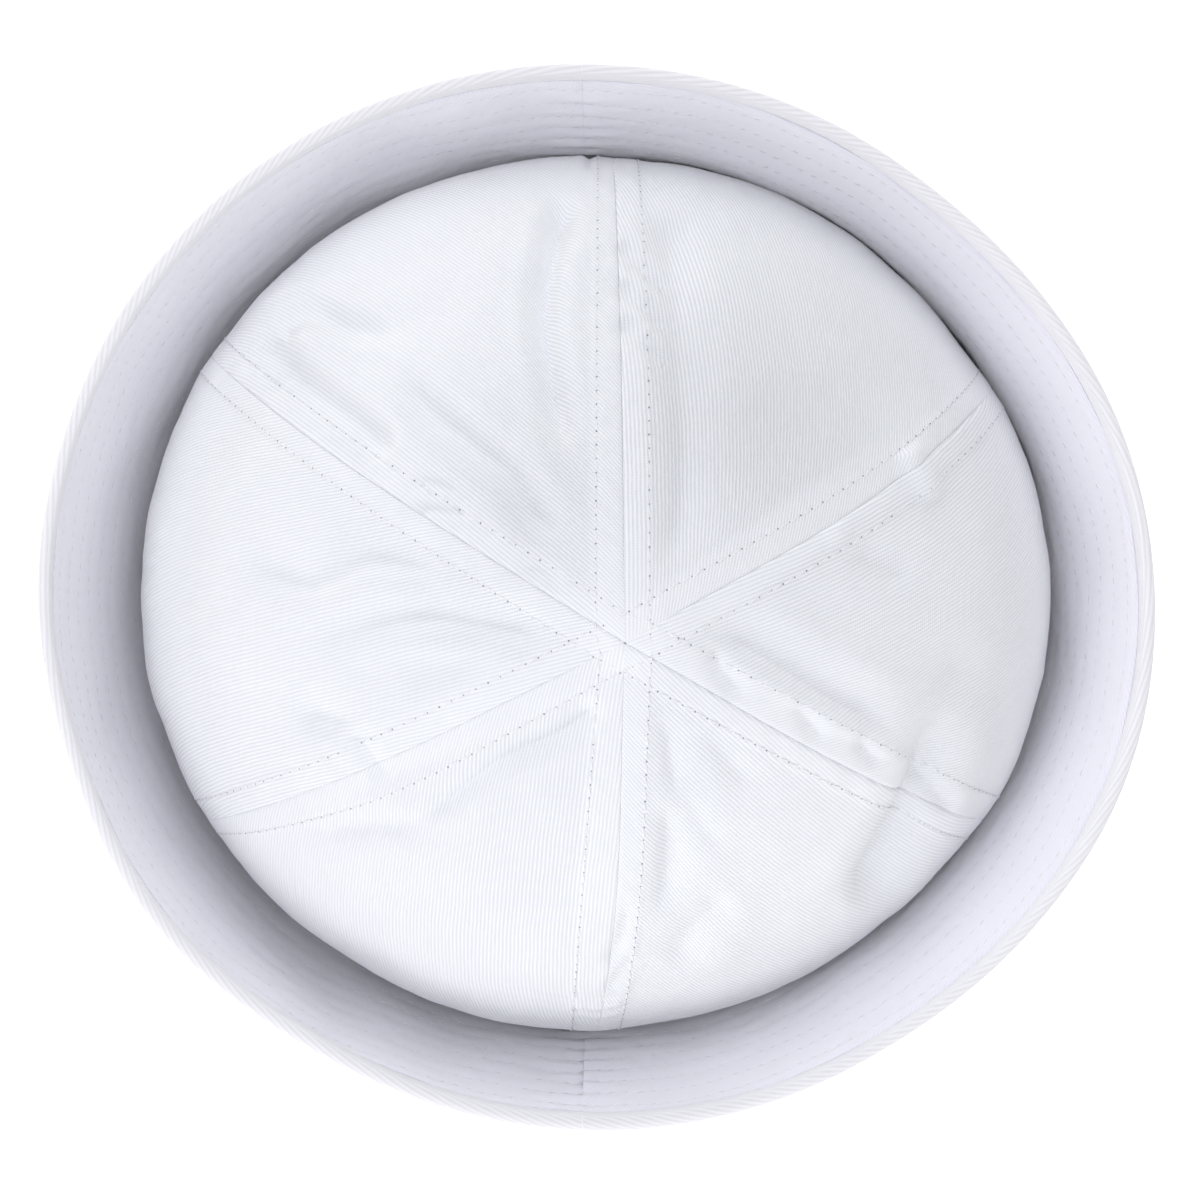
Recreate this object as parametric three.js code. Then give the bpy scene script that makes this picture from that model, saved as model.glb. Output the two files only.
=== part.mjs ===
// Sailor hat of white cotton twill, standing on the fold of its turned-up brim.
// Millimetres, +Z up. The origin is on the ground under the middle of the brim.
// The crown is a dome of six gores. The brim is two plies, each in two halves
// that are joined at the +Y and -Y sides.

import * as THREE from 'three';

// ---- cloth ----
const PLY = 1.0; // thickness of one brim ply
const CROWN_PLY = 1.1; // thickness of a crown gore
const SEAM_ALLOWANCE = 5.2; // width of the cloth pressed open beside each crown seam
const ALLOWANCE_PLY = 0.6; // what the allowance adds inside the crown
const GAP = 0.3; // clearance between neighbouring pieces

// ---- brim ----
const FOLD_X = 94.0; // half width of the brim's inner face at the bottom fold
const FOLD_Y = 90.4; // half depth there
const RIM_X = 115.0; // half width over the rolled rim
const RIM_Y = 109.7; // half depth over the rolled rim
const FACING_SLANT = 61.0; // from the fold to the facing's upper edge, along the cloth
const WAIST_HEIGHT = 30.0; // height at which the brim's waist is given
const ROLL_LIMB = 2.6; // inner part of the roll, from the facing's edge upwards
const FOOT_INSIDE = 2.4; // how far the bottom fold runs in under the crown
const FOOT_LEAD = 0.4; // last part of the flat before the fold bends up
const FOOT_BEND = 1.1; // bend radius from the bottom fold to the outer wall
const FACING_BASE = 1.9; // height of the facing's lower edge
const BRIM_SEAMS = [91.5, 268.5]; // degrees around the hat
const HALF_STEPS = 28; // steps around each half of the brim
const WALL_STEPS = 6; // steps up the brim's wall
const BEND_STEPS = 3; // steps round each small bend

// Sections around the brim: how far the rim stands off its ellipse, how far the waist stands
// outside the fold, and how wide the rolled edge is. Angles run anticlockwise from +X.
const BRIM_SECTIONS = [
  { angle: 0, rimOffset: 0.0, waistOut: 6.6, edgeInset: 3.6 },
  { angle: 20, rimOffset: -1.1, waistOut: 3.3, edgeInset: 3.8 },
  { angle: 36, rimOffset: -2.4, waistOut: 1.4, edgeInset: 4.0 },
  { angle: 50, rimOffset: -2.8, waistOut: 1.5, edgeInset: 4.0 },
  { angle: 65, rimOffset: -1.5, waistOut: 2.5, edgeInset: 3.6 },
  { angle: 90, rimOffset: 0.0, waistOut: 4.2, edgeInset: 3.3 },
  { angle: 104, rimOffset: 0.8, waistOut: 5.9, edgeInset: 3.3 },
  { angle: 122, rimOffset: 1.4, waistOut: 8.0, edgeInset: 3.5 },
  { angle: 144, rimOffset: 0.9, waistOut: 9.4, edgeInset: 3.3 },
  { angle: 162, rimOffset: 0.1, waistOut: 10.2, edgeInset: 3.0 },
  { angle: 180, rimOffset: 0.0, waistOut: 11.0, edgeInset: 3.0 },
  { angle: 198, rimOffset: -1.0, waistOut: 10.6, edgeInset: 3.0 },
  { angle: 215, rimOffset: 0.0, waistOut: 10.2, edgeInset: 3.1 },
  { angle: 238, rimOffset: -1.2, waistOut: 9.0, edgeInset: 3.4 },
  { angle: 254, rimOffset: -0.6, waistOut: 8.4, edgeInset: 3.6 },
  { angle: 270, rimOffset: 0.0, waistOut: 8.0, edgeInset: 3.8 },
  { angle: 288, rimOffset: -0.3, waistOut: 6.6, edgeInset: 3.6 },
  { angle: 306, rimOffset: -1.0, waistOut: 4.6, edgeInset: 3.4 },
  { angle: 322, rimOffset: -0.2, waistOut: 4.7, edgeInset: 3.6 },
  { angle: 340, rimOffset: 0.9, waistOut: 6.6, edgeInset: 4.0 },
];

// ---- crown ----
const CROWN_BASE = PLY + GAP; // height of the gores' lower edge
const WIDEST_HEIGHT = 26.0; // height of the crown's widest ring
const WIDEST_X = 95.6; // half width of that ring
const WIDEST_Y = 92.1; // half depth of that ring
const TOP_HEIGHT = 104.0; // height where the six seams meet
const TOP_X = 5.7; // place where they meet
const TOP_Y = -6.9;
const CONE_SHARE = 0.07; // how much the dome leans towards a cone
const TOP_OPENING = 0.01; // reach at which the gores' tips stop
const SEAM_ANGLES = [28.5, 87.9, 147.3, 211, 270, 328.8]; // where the seams reach the widest ring
const SEAM_BOWS = [-3.4, -0.5, 1.5, 1.8, 1.8, -1.7]; // of the seams, to the left from the top
const SEAM_SKEW = 1.4; // above 1, puts a seam's widest bow beyond the middle of its run
const DOME_STEPS = 14;
const SIDE_STEPS = 3;
const PANEL_STEPS = 7; // steps across a gore between its two allowances
const MAX_ALLOWANCE_SHARE = 0.3; // of a gore's width, near the top

// Main folds and dents, as valleys pressed into the crown: the ends of each in plan,
// the bow of its middle to the left of that line, its half width and its depth.
const FOLDS = [
  {
    name: 'valley beside +Y seam',
    x0: -8.1,
    y0: 83.7,
    x1: -7,
    y1: 30,
    bow: -5.5,
    width: 2.4,
    depth: 1.9,
  },
  {
    name: 'valley along left upper seam',
    x0: -68,
    y0: 54,
    x1: -39,
    y1: 33,
    bow: 0,
    width: 2.6,
    depth: 1.9,
  },
  {
    name: 'valley above left upper seam',
    x0: -39,
    y0: 51,
    x1: -9,
    y1: 14,
    bow: 1.5,
    width: 2.6,
    depth: 1.5,
  },
  {
    name: 'upper wave of left gore',
    x0: -71,
    y0: 10,
    x1: -34,
    y1: 6.6,
    bow: -1,
    width: 2.6,
    depth: 1.4,
  },
  {
    name: 'middle wave of left gore',
    x0: -58,
    y0: -7.6,
    x1: -12,
    y1: -4,
    bow: 3.5,
    width: 2.6,
    depth: 1.4,
  },
  {
    name: 'lower wave of left gore',
    x0: -40,
    y0: -13.6,
    x1: -20,
    y1: -8.4,
    bow: 0,
    width: 2.8,
    depth: 0.8,
  },
  {
    name: 'valley of left lower gore',
    x0: -5.5,
    y0: -24.5,
    x1: -45,
    y1: -46.5,
    bow: 1,
    width: 2.6,
    depth: 1.4,
  },
  {
    name: 'valley beside -Y seam',
    x0: 12.7,
    y0: -22.7,
    x1: 11.3,
    y1: -63,
    bow: 1.8,
    width: 3.0,
    depth: 1.3,
  },
  {
    name: 'pucker across right lower seam',
    x0: 65.6,
    y0: -20.4,
    x1: 51.4,
    y1: -60.6,
    bow: 1,
    width: 3.0,
    depth: 2.0,
  },
  {
    name: 'valley along right lower seam',
    x0: 21,
    y0: -6,
    x1: 60,
    y1: -28.4,
    bow: 2.6,
    width: 3.2,
    depth: 1.4,
  },
  {
    name: 'valley right of +Y seam',
    x0: 13,
    y0: 77.5,
    x1: 15,
    y1: 14.5,
    bow: 2.2,
    width: 3.4,
    depth: 1.2,
  },
];
const FOLD_END = 6.0; // distance over which a fold runs out

// How far the crown's widest ring stands outside its ellipse, around the hat.
const CROWN_GIRTH = [
  { angle: 0, out: 0.1 },
  { angle: 20, out: -0.1 },
  { angle: 30, out: -0.9 },
  { angle: 40, out: -1.5 },
  { angle: 50, out: -0.7 },
  { angle: 65, out: -0.1 },
  { angle: 90, out: -0.1 },
  { angle: 110, out: 0.8 },
  { angle: 140, out: 1.1 },
  { angle: 160, out: 0.6 },
  { angle: 180, out: 0.8 },
  { angle: 200, out: 0.7 },
  { angle: 220, out: 0.2 },
  { angle: 240, out: 0.6 },
  { angle: 268, out: 0.5 },
  { angle: 285, out: -0.4 },
  { angle: 300, out: -0.8 },
  { angle: 311, out: -1.4 },
  { angle: 322, out: -0.7 },
  { angle: 340, out: 0.7 },
];

// ---------------------------------------------------------------- helpers

// A smooth closed curve around the hat through one column of a table of angles.
function aroundHat(table, column) {
  const wrapped = [-3, -2, -1].map((i) => {
    const row = table.at(i);
    return { angle: row.angle - 360, value: row[column] };
  });
  table.forEach((row) => wrapped.push({ angle: row.angle, value: row[column] }));
  table.slice(0, 3).forEach((row) => {
    wrapped.push({ angle: row.angle + 360, value: row[column] });
  });
  const curve = new THREE.CubicInterpolant(
    wrapped.map((row) => row.angle),
    wrapped.map((row) => row.value),
    1,
  );
  return (angle) => curve.evaluate(THREE.MathUtils.euclideanModulo(angle, 360))[0];
}

const rimOffsetAt = aroundHat(BRIM_SECTIONS, 'rimOffset');
const waistOutAt = aroundHat(BRIM_SECTIONS, 'waistOut');
const edgeInsetAt = aroundHat(BRIM_SECTIONS, 'edgeInset');
const girthAt = aroundHat(CROWN_GIRTH, 'out');

// A point at a given distance outside the fold ellipse, seen in plan, and at a height.
function ringPoint(angle, out, height) {
  const turn = THREE.MathUtils.degToRad(angle);
  return new THREE.Vector3(
    (FOLD_X + out) * Math.cos(turn),
    (FOLD_Y + out) * Math.sin(turn),
    height,
  );
}

// Turns vertices and triangles into a mesh whose faces point outwards.
function solidMesh(name, vertices, triangles, material) {
  let volume = 0;
  triangles.forEach(([a, b, c]) => {
    volume += vertices[a].dot(new THREE.Vector3().crossVectors(vertices[b], vertices[c]));
  });
  const order = volume > 0 ? [0, 1, 2] : [0, 2, 1];
  const geometry = new THREE.BufferGeometry();
  geometry.setFromPoints(vertices);
  geometry.setIndex(triangles.flatMap((corner) => order.map((i) => corner[i])));
  geometry.computeVertexNormals();
  const mesh = new THREE.Mesh(geometry, material);
  mesh.name = name;
  return mesh;
}

// Divides a flat outline into triangles that run the same way round as the outline.
function capTriangles(outline) {
  const winding = THREE.ShapeUtils.area(outline);
  return THREE.ShapeUtils.triangulateShape(outline, []).map((corners) => {
    const area = THREE.ShapeUtils.area(corners.map((i) => outline[i]));
    return area * winding > 0 ? corners : [corners[0], corners[2], corners[1]];
  });
}

// Sweeps closed sections, given as rows of points, into a solid with flat ends.
// The outline of each end, in its own plane, says how its cap is divided.
function sweptSolid(name, rows, startOutline, endOutline, material) {
  const count = rows[0].length;
  const last = (rows.length - 1) * count;
  const triangles = capTriangles(startOutline).map(([a, b, c]) => [a, c, b]);
  capTriangles(endOutline).forEach(([a, b, c]) => triangles.push([last + a, last + b, last + c]));
  for (let i = 0; i < last; i += count) {
    for (let j = 0; j < count; j += 1) {
      const a = i + j;
      const b = i + ((j + 1) % count);
      triangles.push([a, b, b + count], [a, b + count, a + count]);
    }
  }
  return solidMesh(name, rows.flat(), triangles, material);
}

// ---------------------------------------------------------------- crown form

// Height of the dome at a reach of 0 (top) to 1 (widest ring).
function domeHeight(reach) {
  const round = Math.sqrt(Math.max(0, 1 - reach * reach));
  const share = (1 - CONE_SHARE) * round + CONE_SHARE * (1 - reach);
  return WIDEST_HEIGHT + (TOP_HEIGHT - WIDEST_HEIGHT) * share;
}

// How far the side of the crown stands outside its base, at a height below the widest ring.
function sideBulge(height) {
  const share = THREE.MathUtils.clamp((height - CROWN_BASE) / (WIDEST_HEIGHT - CROWN_BASE), 0, 1);
  return Math.sin((share * Math.PI) / 2);
}

const BASE_X = FOLD_X - GAP;
const BASE_Y = FOLD_Y - GAP;

// The stations that a gore's grid runs through, from its tip to its lower edge.
function crownStations() {
  const stations = [];
  for (let i = 0; i <= DOME_STEPS; i += 1) {
    const turn = (Math.PI / 2) * (i / DOME_STEPS);
    const reach = TOP_OPENING + (1 - TOP_OPENING) * Math.sin(turn);
    stations.push({ reach, height: domeHeight(reach), bulge: 1 });
  }
  for (let i = 1; i <= SIDE_STEPS; i += 1) {
    const height = THREE.MathUtils.lerp(WIDEST_HEIGHT, CROWN_BASE, i / SIDE_STEPS);
    stations.push({ reach: 1, height, bulge: sideBulge(height) });
  }
  return stations;
}

// How deep the folds press into the crown at a place in plan.
function foldDepth(x, y) {
  return FOLDS.reduce((sum, fold) => {
    const along = new THREE.Vector2(fold.x1 - fold.x0, fold.y1 - fold.y0);
    const length = along.length();
    along.divideScalar(length);
    const offset = new THREE.Vector2(x - fold.x0, y - fold.y0);
    const run = offset.dot(along);
    const share = run / length;
    const side = along.cross(offset) - 4 * fold.bow * share * (1 - share);
    const beyond = Math.max(0, -run, run - length) / FOLD_END;
    return sum + fold.depth * Math.exp(-((side / fold.width) ** 2) - beyond ** 2);
  }, 0);
}

// The smooth outer surface of the crown at a station and an angle around its widest ring.
function crownForm(station, angle) {
  const turn = THREE.MathUtils.degToRad(angle);
  const girth = girthAt(angle) * station.reach ** 2;
  const halfX = THREE.MathUtils.lerp(BASE_X, WIDEST_X + girth, station.bulge);
  const halfY = THREE.MathUtils.lerp(BASE_Y, WIDEST_Y + girth, station.bulge);
  return new THREE.Vector3(
    TOP_X * (1 - station.reach) + station.reach * halfX * Math.cos(turn),
    TOP_Y * (1 - station.reach) + station.reach * halfY * Math.sin(turn),
    station.height,
  );
}

// The outward direction of the smooth crown, square to its two grid directions.
function crownNormal(stations, row, angle) {
  const above = stations[Math.max(0, row - 1)];
  const below = stations[Math.min(stations.length - 1, row + 1)];
  const down = crownForm(below, angle).sub(crownForm(above, angle));
  const across = crownForm(stations[row], angle + 1).sub(crownForm(stations[row], angle - 1));
  return down.cross(across).normalize();
}

// The angle around the widest ring at which a bowed seam crosses the ring of a given reach.
function seamAngle(index, reach) {
  const turn = THREE.MathUtils.degToRad(SEAM_ANGLES[index]);
  const plan = new THREE.Vector2(
    WIDEST_X * Math.cos(turn) - TOP_X,
    WIDEST_Y * Math.sin(turn) - TOP_Y,
  ).normalize();
  const pull = plan.x * WIDEST_Y * Math.cos(turn) + plan.y * WIDEST_X * Math.sin(turn);
  const swing = Math.sin(Math.PI * reach ** SEAM_SKEW);
  const shift = (SEAM_BOWS[index] * swing) / (reach * pull);
  return SEAM_ANGLES[index] + THREE.MathUtils.radToDeg(shift);
}

// ---------------------------------------------------------------- crown pieces

function crownPanel(index, material) {
  const stations = crownStations();
  const next = (index + 1) % SEAM_ANGLES.length;
  const lap = next === 0 ? 360 : 0;
  const columns = PANEL_STEPS + 3;
  const outer = [];
  const inner = [];
  stations.forEach((station, row) => {
    const from = seamAngle(index, station.reach);
    const to = seamAngle(next, station.reach) + lap;
    const left = crownForm(station, from);
    const width = left.distanceTo(crownForm(station, to));
    const inset = ((GAP / 2) / width) * (to - from);
    const allowance = Math.min(MAX_ALLOWANCE_SHARE, SEAM_ALLOWANCE / width);
    for (let column = 0; column < columns; column += 1) {
      const middle = (column - 1) / PANEL_STEPS;
      let share = allowance + (1 - 2 * allowance) * middle;
      share = column === 0 ? 0 : share;
      share = column === columns - 1 ? 1 : share;
      const angle = from + inset + share * (to - from - 2 * inset);
      const normal = crownNormal(stations, row, angle);
      const edge = column < 2 || column > columns - 3;
      const thickness = CROWN_PLY + (edge ? ALLOWANCE_PLY : 0);
      const surface = crownForm(station, angle);
      surface.addScaledVector(normal, -foldDepth(surface.x, surface.y));
      outer.push(surface);
      inner.push(surface.clone().addScaledVector(normal, -thickness));
    }
  });
  return gridSolid(`crown_panel_${index + 1}`, outer, inner, columns, material);
}

// Closes the space between an outer and an inner grid of points with walls along their edges.
function gridSolid(name, outer, inner, columns, material) {
  const rows = outer.length / columns;
  const shift = outer.length;
  const triangles = [];
  for (let i = 0; i + 1 < rows; i += 1) {
    for (let j = 0; j + 1 < columns; j += 1) {
      const a = i * columns + j;
      const b = a + 1;
      const c = a + columns;
      const d = c + 1;
      triangles.push([a, c, d], [a, d, b]);
      triangles.push([shift + a, shift + d, shift + c], [shift + a, shift + b, shift + d]);
    }
  }
  const border = [];
  for (let j = 0; j + 1 < columns; j += 1) {
    border.push(j);
  }
  for (let i = 0; i + 1 < rows; i += 1) {
    border.push(i * columns + columns - 1);
  }
  for (let j = columns - 1; j > 0; j -= 1) {
    border.push((rows - 1) * columns + j);
  }
  for (let i = rows - 1; i > 0; i -= 1) {
    border.push(i * columns);
  }
  border.forEach((a, k) => {
    const b = border[(k + 1) % border.length];
    triangles.push([a, b, shift + b], [a, shift + b, shift + a]);
  });
  return solidMesh(name, outer.concat(inner), triangles, material);
}

// ---------------------------------------------------------------- brim form

// The inner face of the brim in section: points (out, height) from the fold to the facing's edge.
// The brim rests against the crown where its own line would run into it.
function facingFace(angle) {
  const turn = THREE.MathUtils.degToRad(angle);
  const rimOut = (RIM_X - FOLD_X) * Math.cos(turn) ** 2 + (RIM_Y - FOLD_Y) * Math.sin(turn) ** 2;
  const edgeOut = rimOut + rimOffsetAt(angle) - edgeInsetAt(angle);
  const edgeHeight = Math.sqrt(FACING_SLANT ** 2 - edgeOut ** 2);
  const waistOut = waistOutAt(angle);
  const bend = (edgeOut / edgeHeight - waistOut / WAIST_HEIGHT) / (edgeHeight - WAIST_HEIGHT);
  const lean = waistOut / WAIST_HEIGHT - bend * WAIST_HEIGHT;
  const span = WIDEST_Y - BASE_Y + girthAt(angle);
  const points = [];
  for (let i = 0; i <= WALL_STEPS; i += 1) {
    const height = THREE.MathUtils.lerp(FACING_BASE, edgeHeight, i / WALL_STEPS);
    const free = lean * height + bend * height * height;
    const clear = span * sideBulge(height);
    points.push(new THREE.Vector2(Math.max(free, clear), height));
  }
  return points;
}

// Square outward directions along an open line of points.
function lineNormals(points) {
  return points.map((point, i) => {
    const before = points[Math.max(0, i - 1)];
    const after = points[Math.min(points.length - 1, i + 1)];
    const along = after.clone().sub(before).normalize();
    return new THREE.Vector2(along.y, -along.x);
  });
}

function offsetLine(points, distance) {
  const normals = lineNormals(points);
  return points.map((point, i) => point.clone().addScaledVector(normals[i], distance));
}

// The facing's closed section.
function facingSection(angle) {
  const face = facingFace(angle);
  return face.concat(offsetLine(face, PLY).reverse());
}

// The bottom fold and its bend up into a wall line, down the middle of the outer ply.
function footLine(wall) {
  const half = PLY / 2;
  const up = wall[1].clone().sub(wall[0]).normalize();
  const turn = Math.atan2(up.y, up.x);
  const corner = wall[0].clone().addScaledVector(up, (half - wall[0].y) / up.y);
  const start = corner.x - FOOT_BEND * Math.tan(turn / 2);
  const line = [new THREE.Vector2(-FOOT_INSIDE, half), new THREE.Vector2(start - FOOT_LEAD, half)];
  for (let i = 0; i <= BEND_STEPS; i += 1) {
    const bend = turn * (i / BEND_STEPS);
    line.push(new THREE.Vector2(
      start + FOOT_BEND * Math.sin(bend),
      half + FOOT_BEND * (1 - Math.cos(bend)),
    ));
  }
  return line;
}

// The roll over the rim, down the middle of the outer ply: from the wall round to the facing's edge.
// Its radius is what makes the rim stand outside that edge by the section's inset.
function rollLine(face, angle) {
  const across = lineNormals(face).at(-1);
  const along = new THREE.Vector2(-across.y, across.x);
  const edge = face.at(-1).clone().addScaledVector(across, PLY / 2);
  const limb = GAP + ROLL_LIMB;
  const room = edgeInsetAt(angle) - (PLY / 2) * (1 + across.x) - limb * along.x;
  const radius = Math.max((PLY + GAP) / 2, room / (1 + across.x));
  const centre = edge.clone().addScaledVector(along, limb).addScaledVector(across, radius);
  const line = [edge.clone().addScaledVector(across, 2 * radius)];
  for (let i = 0; i <= BEND_STEPS; i += 1) {
    const turn = Math.PI * (i / BEND_STEPS);
    line.push(centre.clone()
      .addScaledVector(across, radius * Math.cos(turn))
      .addScaledVector(along, radius * Math.sin(turn)));
  }
  line.push(edge.clone().addScaledVector(along, GAP));
  return line;
}

// The outer ply's closed section: along the ground, up the wall, over the rim and down to the facing.
function outerSection(angle) {
  const face = facingFace(angle);
  const wall = offsetLine(face, PLY + GAP + PLY / 2);
  const line = footLine(wall).concat(wall.slice(1, -1), rollLine(face, angle));
  return offsetLine(line, PLY / 2).concat(offsetLine(line, -PLY / 2).reverse());
}

// ---------------------------------------------------------------- brim pieces

function brimHalf(name, section, from, to, material) {
  const rows = [];
  const outlines = [];
  const inset = THREE.MathUtils.radToDeg((GAP / 2) / FOLD_Y);
  for (let i = 0; i <= HALF_STEPS; i += 1) {
    const angle = THREE.MathUtils.lerp(from + inset, to - inset, i / HALF_STEPS);
    const outline = section(angle);
    outlines.push(outline);
    rows.push(outline.map((point) => ringPoint(angle, point.x, point.y)));
  }
  return sweptSolid(name, rows, outlines[0], outlines.at(-1), material);
}

// ---------------------------------------------------------------- assembly

const crownCloth = new THREE.MeshStandardMaterial({ color: 0xf4f4f6, roughness: 0.9, metalness: 0 });
const facingCloth = new THREE.MeshStandardMaterial({ color: 0xe9e9ee, roughness: 0.9, metalness: 0 });
const outerCloth = new THREE.MeshStandardMaterial({ color: 0xf0f0f3, roughness: 0.9, metalness: 0 });

const hat = new THREE.Group();
SEAM_ANGLES.forEach((angle, index) => hat.add(crownPanel(index, crownCloth)));

const [backSeam, frontSeam] = BRIM_SEAMS;
hat.add(brimHalf('brim_facing_left', facingSection, backSeam, frontSeam, facingCloth));
hat.add(brimHalf('brim_facing_right', facingSection, frontSeam - 360, backSeam, facingCloth));
hat.add(brimHalf('brim_outer_left', outerSection, backSeam, frontSeam, outerCloth));
hat.add(brimHalf('brim_outer_right', outerSection, frontSeam - 360, backSeam, outerCloth));

export default hat;
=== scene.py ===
"""Looks of a white cotton-twill sailor hat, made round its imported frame.

Forms are worked out in millimetres, +Z up, with the origin on the ground under the middle of the
brim. Meshes are made in metres. Angles run anticlockwise from +X, seen from above.
"""

import logging
import math
from collections.abc import Sequence
from dataclasses import dataclass, field
from enum import Enum

import bpy
import numpy as np
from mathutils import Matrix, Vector


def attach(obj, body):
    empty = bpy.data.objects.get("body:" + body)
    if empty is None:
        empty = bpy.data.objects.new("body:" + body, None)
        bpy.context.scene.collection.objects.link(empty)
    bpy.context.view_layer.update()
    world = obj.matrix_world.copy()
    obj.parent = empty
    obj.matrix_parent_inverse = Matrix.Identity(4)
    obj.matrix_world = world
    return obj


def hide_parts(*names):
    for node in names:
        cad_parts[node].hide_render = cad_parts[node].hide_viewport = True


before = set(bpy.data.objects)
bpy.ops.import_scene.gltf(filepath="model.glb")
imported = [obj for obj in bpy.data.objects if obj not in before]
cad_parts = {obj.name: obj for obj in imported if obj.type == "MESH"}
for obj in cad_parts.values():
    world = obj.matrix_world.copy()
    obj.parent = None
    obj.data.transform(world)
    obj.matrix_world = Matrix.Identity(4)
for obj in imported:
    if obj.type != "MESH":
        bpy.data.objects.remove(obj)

LOG = logging.getLogger("sailor_hat")
MM = 0.001
CLOTH_MAP = "cloth"  # the UV map that holds each point's place on the flat cloth, in metres
RIB_MARK = "rib"  # the attribute that says how strongly the cloth's ribs stand
Array = np.ndarray
Pair = tuple[Array, Array]  # two arrays that go together, such as x and y
Socket = bpy.types.NodeSocket
Sockets = bpy.types.bpy_prop_collection
Value = Socket | float
Node = bpy.types.Node


class Hold(Enum):
    """How a piece of cloth is held."""

    STRETCHED = "stretched"
    FOLDED = "folded"


class Slot(Enum):
    """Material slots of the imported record."""

    CROWN = "crown_twill"
    FACING = "facing_twill"
    OUTER = "outer_twill"
    THREAD = "white_thread"


# -------------------- small maths


def smooth_step(low: float, high: float, value: Array) -> Array:
    """Smooth rise from 0 at low to 1 at high.

    Args:
        low: where the rise starts; it may be above high, for a fall.
        high: where it ends.
        value: the values looked up.

    Returns:
        The rise at each value.
    """
    share = np.clip((value - low) / (high - low), 0.0, 1.0)
    return share * share * (3.0 - 2.0 * share)


def bell(value: Array, width: float) -> Array:
    """Bell curve of height 1 round zero, with the given half width."""
    return np.exp(-((value / width) ** 2))


def unit(vectors: Array) -> Array:
    """Vectors scaled to length 1 along the last axis."""
    length = np.linalg.norm(vectors, axis=-1, keepdims=True)
    return vectors / np.maximum(length, 1e-12)


def run_lengths(points: Array, axis: int) -> Array:
    """Distance run along one axis of a grid of points, starting at 0.

    Args:
        points: grid of points, with the coordinates last.
        axis: the grid axis that is followed.

    Returns:
        The distance at each point.
    """
    steps = np.linalg.norm(np.diff(points, axis=axis), axis=-1)
    run = np.cumsum(steps, axis=axis)
    first = np.zeros_like(np.take(run, [0], axis=axis))
    return np.concatenate([first, run], axis=axis)


def new_object(name: str, data: bpy.types.ID) -> bpy.types.Object:
    """Puts a new object with its data into the scene."""
    made = bpy.data.objects.new(name, data)
    bpy.context.scene.collection.objects.link(made)
    return made


@dataclass(frozen=True)
class SoftWaves:
    """Gentle random unevenness over a plane, the same on every run."""

    seed: int
    shortest: float
    longest: float
    height: float
    count: int = 28

    def at(self, x: Array, y: Array) -> Array:
        """Height of the waves at places on the plane.

        Args:
            x: in mm.
            y: in mm.

        Returns:
            Heights in mm, about the given height on average.
        """
        rng = np.random.default_rng(self.seed)
        total = np.zeros_like(x, dtype=float)
        for _ in range(self.count):
            turn = rng.uniform(0.0, math.tau)
            phase = rng.uniform(0.0, math.tau)
            length = rng.uniform(self.shortest, self.longest)
            along = x * math.cos(turn) + y * math.sin(turn)
            total += np.sin(math.tau * along / length + phase)
        return total * self.height * math.sqrt(2.0 / self.count)


def smooth_curve(wanted: Array, marks: Array, values: Array) -> Array:
    """Values of a smooth curve through given values, by cubic pieces with matched slopes.

    Args:
        wanted: marks that are looked up.
        marks: marks of the given values, rising.
        values: the given values.

    Returns:
        The value at each wanted mark.
    """
    slopes = np.gradient(values, marks)
    i = np.clip(np.searchsorted(marks, wanted, side="right") - 1, 0, len(marks) - 2)
    span = marks[i + 1] - marks[i]
    t = (wanted - marks[i]) / span
    start = (1 + 2 * t) * (1 - t) ** 2 * values[i]
    leave = t * (1 - t) ** 2 * span * slopes[i]
    end = t * t * (3 - 2 * t) * values[i + 1]
    arrive = t * t * (t - 1) * span * slopes[i + 1]
    return start + leave + end + arrive


class ClosedCurve:
    """A smooth closed curve through values given at angles round the hat."""

    def __init__(self, angles: Sequence[float], values: Sequence[float]) -> None:
        """Keeps the given values with three more on each side, so that the curve closes.

        Args:
            angles: angles in degrees, rising from 0.
            values: the value at each angle.
        """
        self.angles = np.concatenate(
            [np.array(angles[-3:]) - 360.0, angles, np.array(angles[:3]) + 360.0]
        )
        self.values = np.concatenate([values[-3:], values, values[:3]])

    def at(self, angle: Array) -> Array:
        """Value of the curve at angles in degrees."""
        return smooth_curve(np.mod(angle, 360.0), self.angles, self.values)


# -------------------- cloth as a mesh


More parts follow.
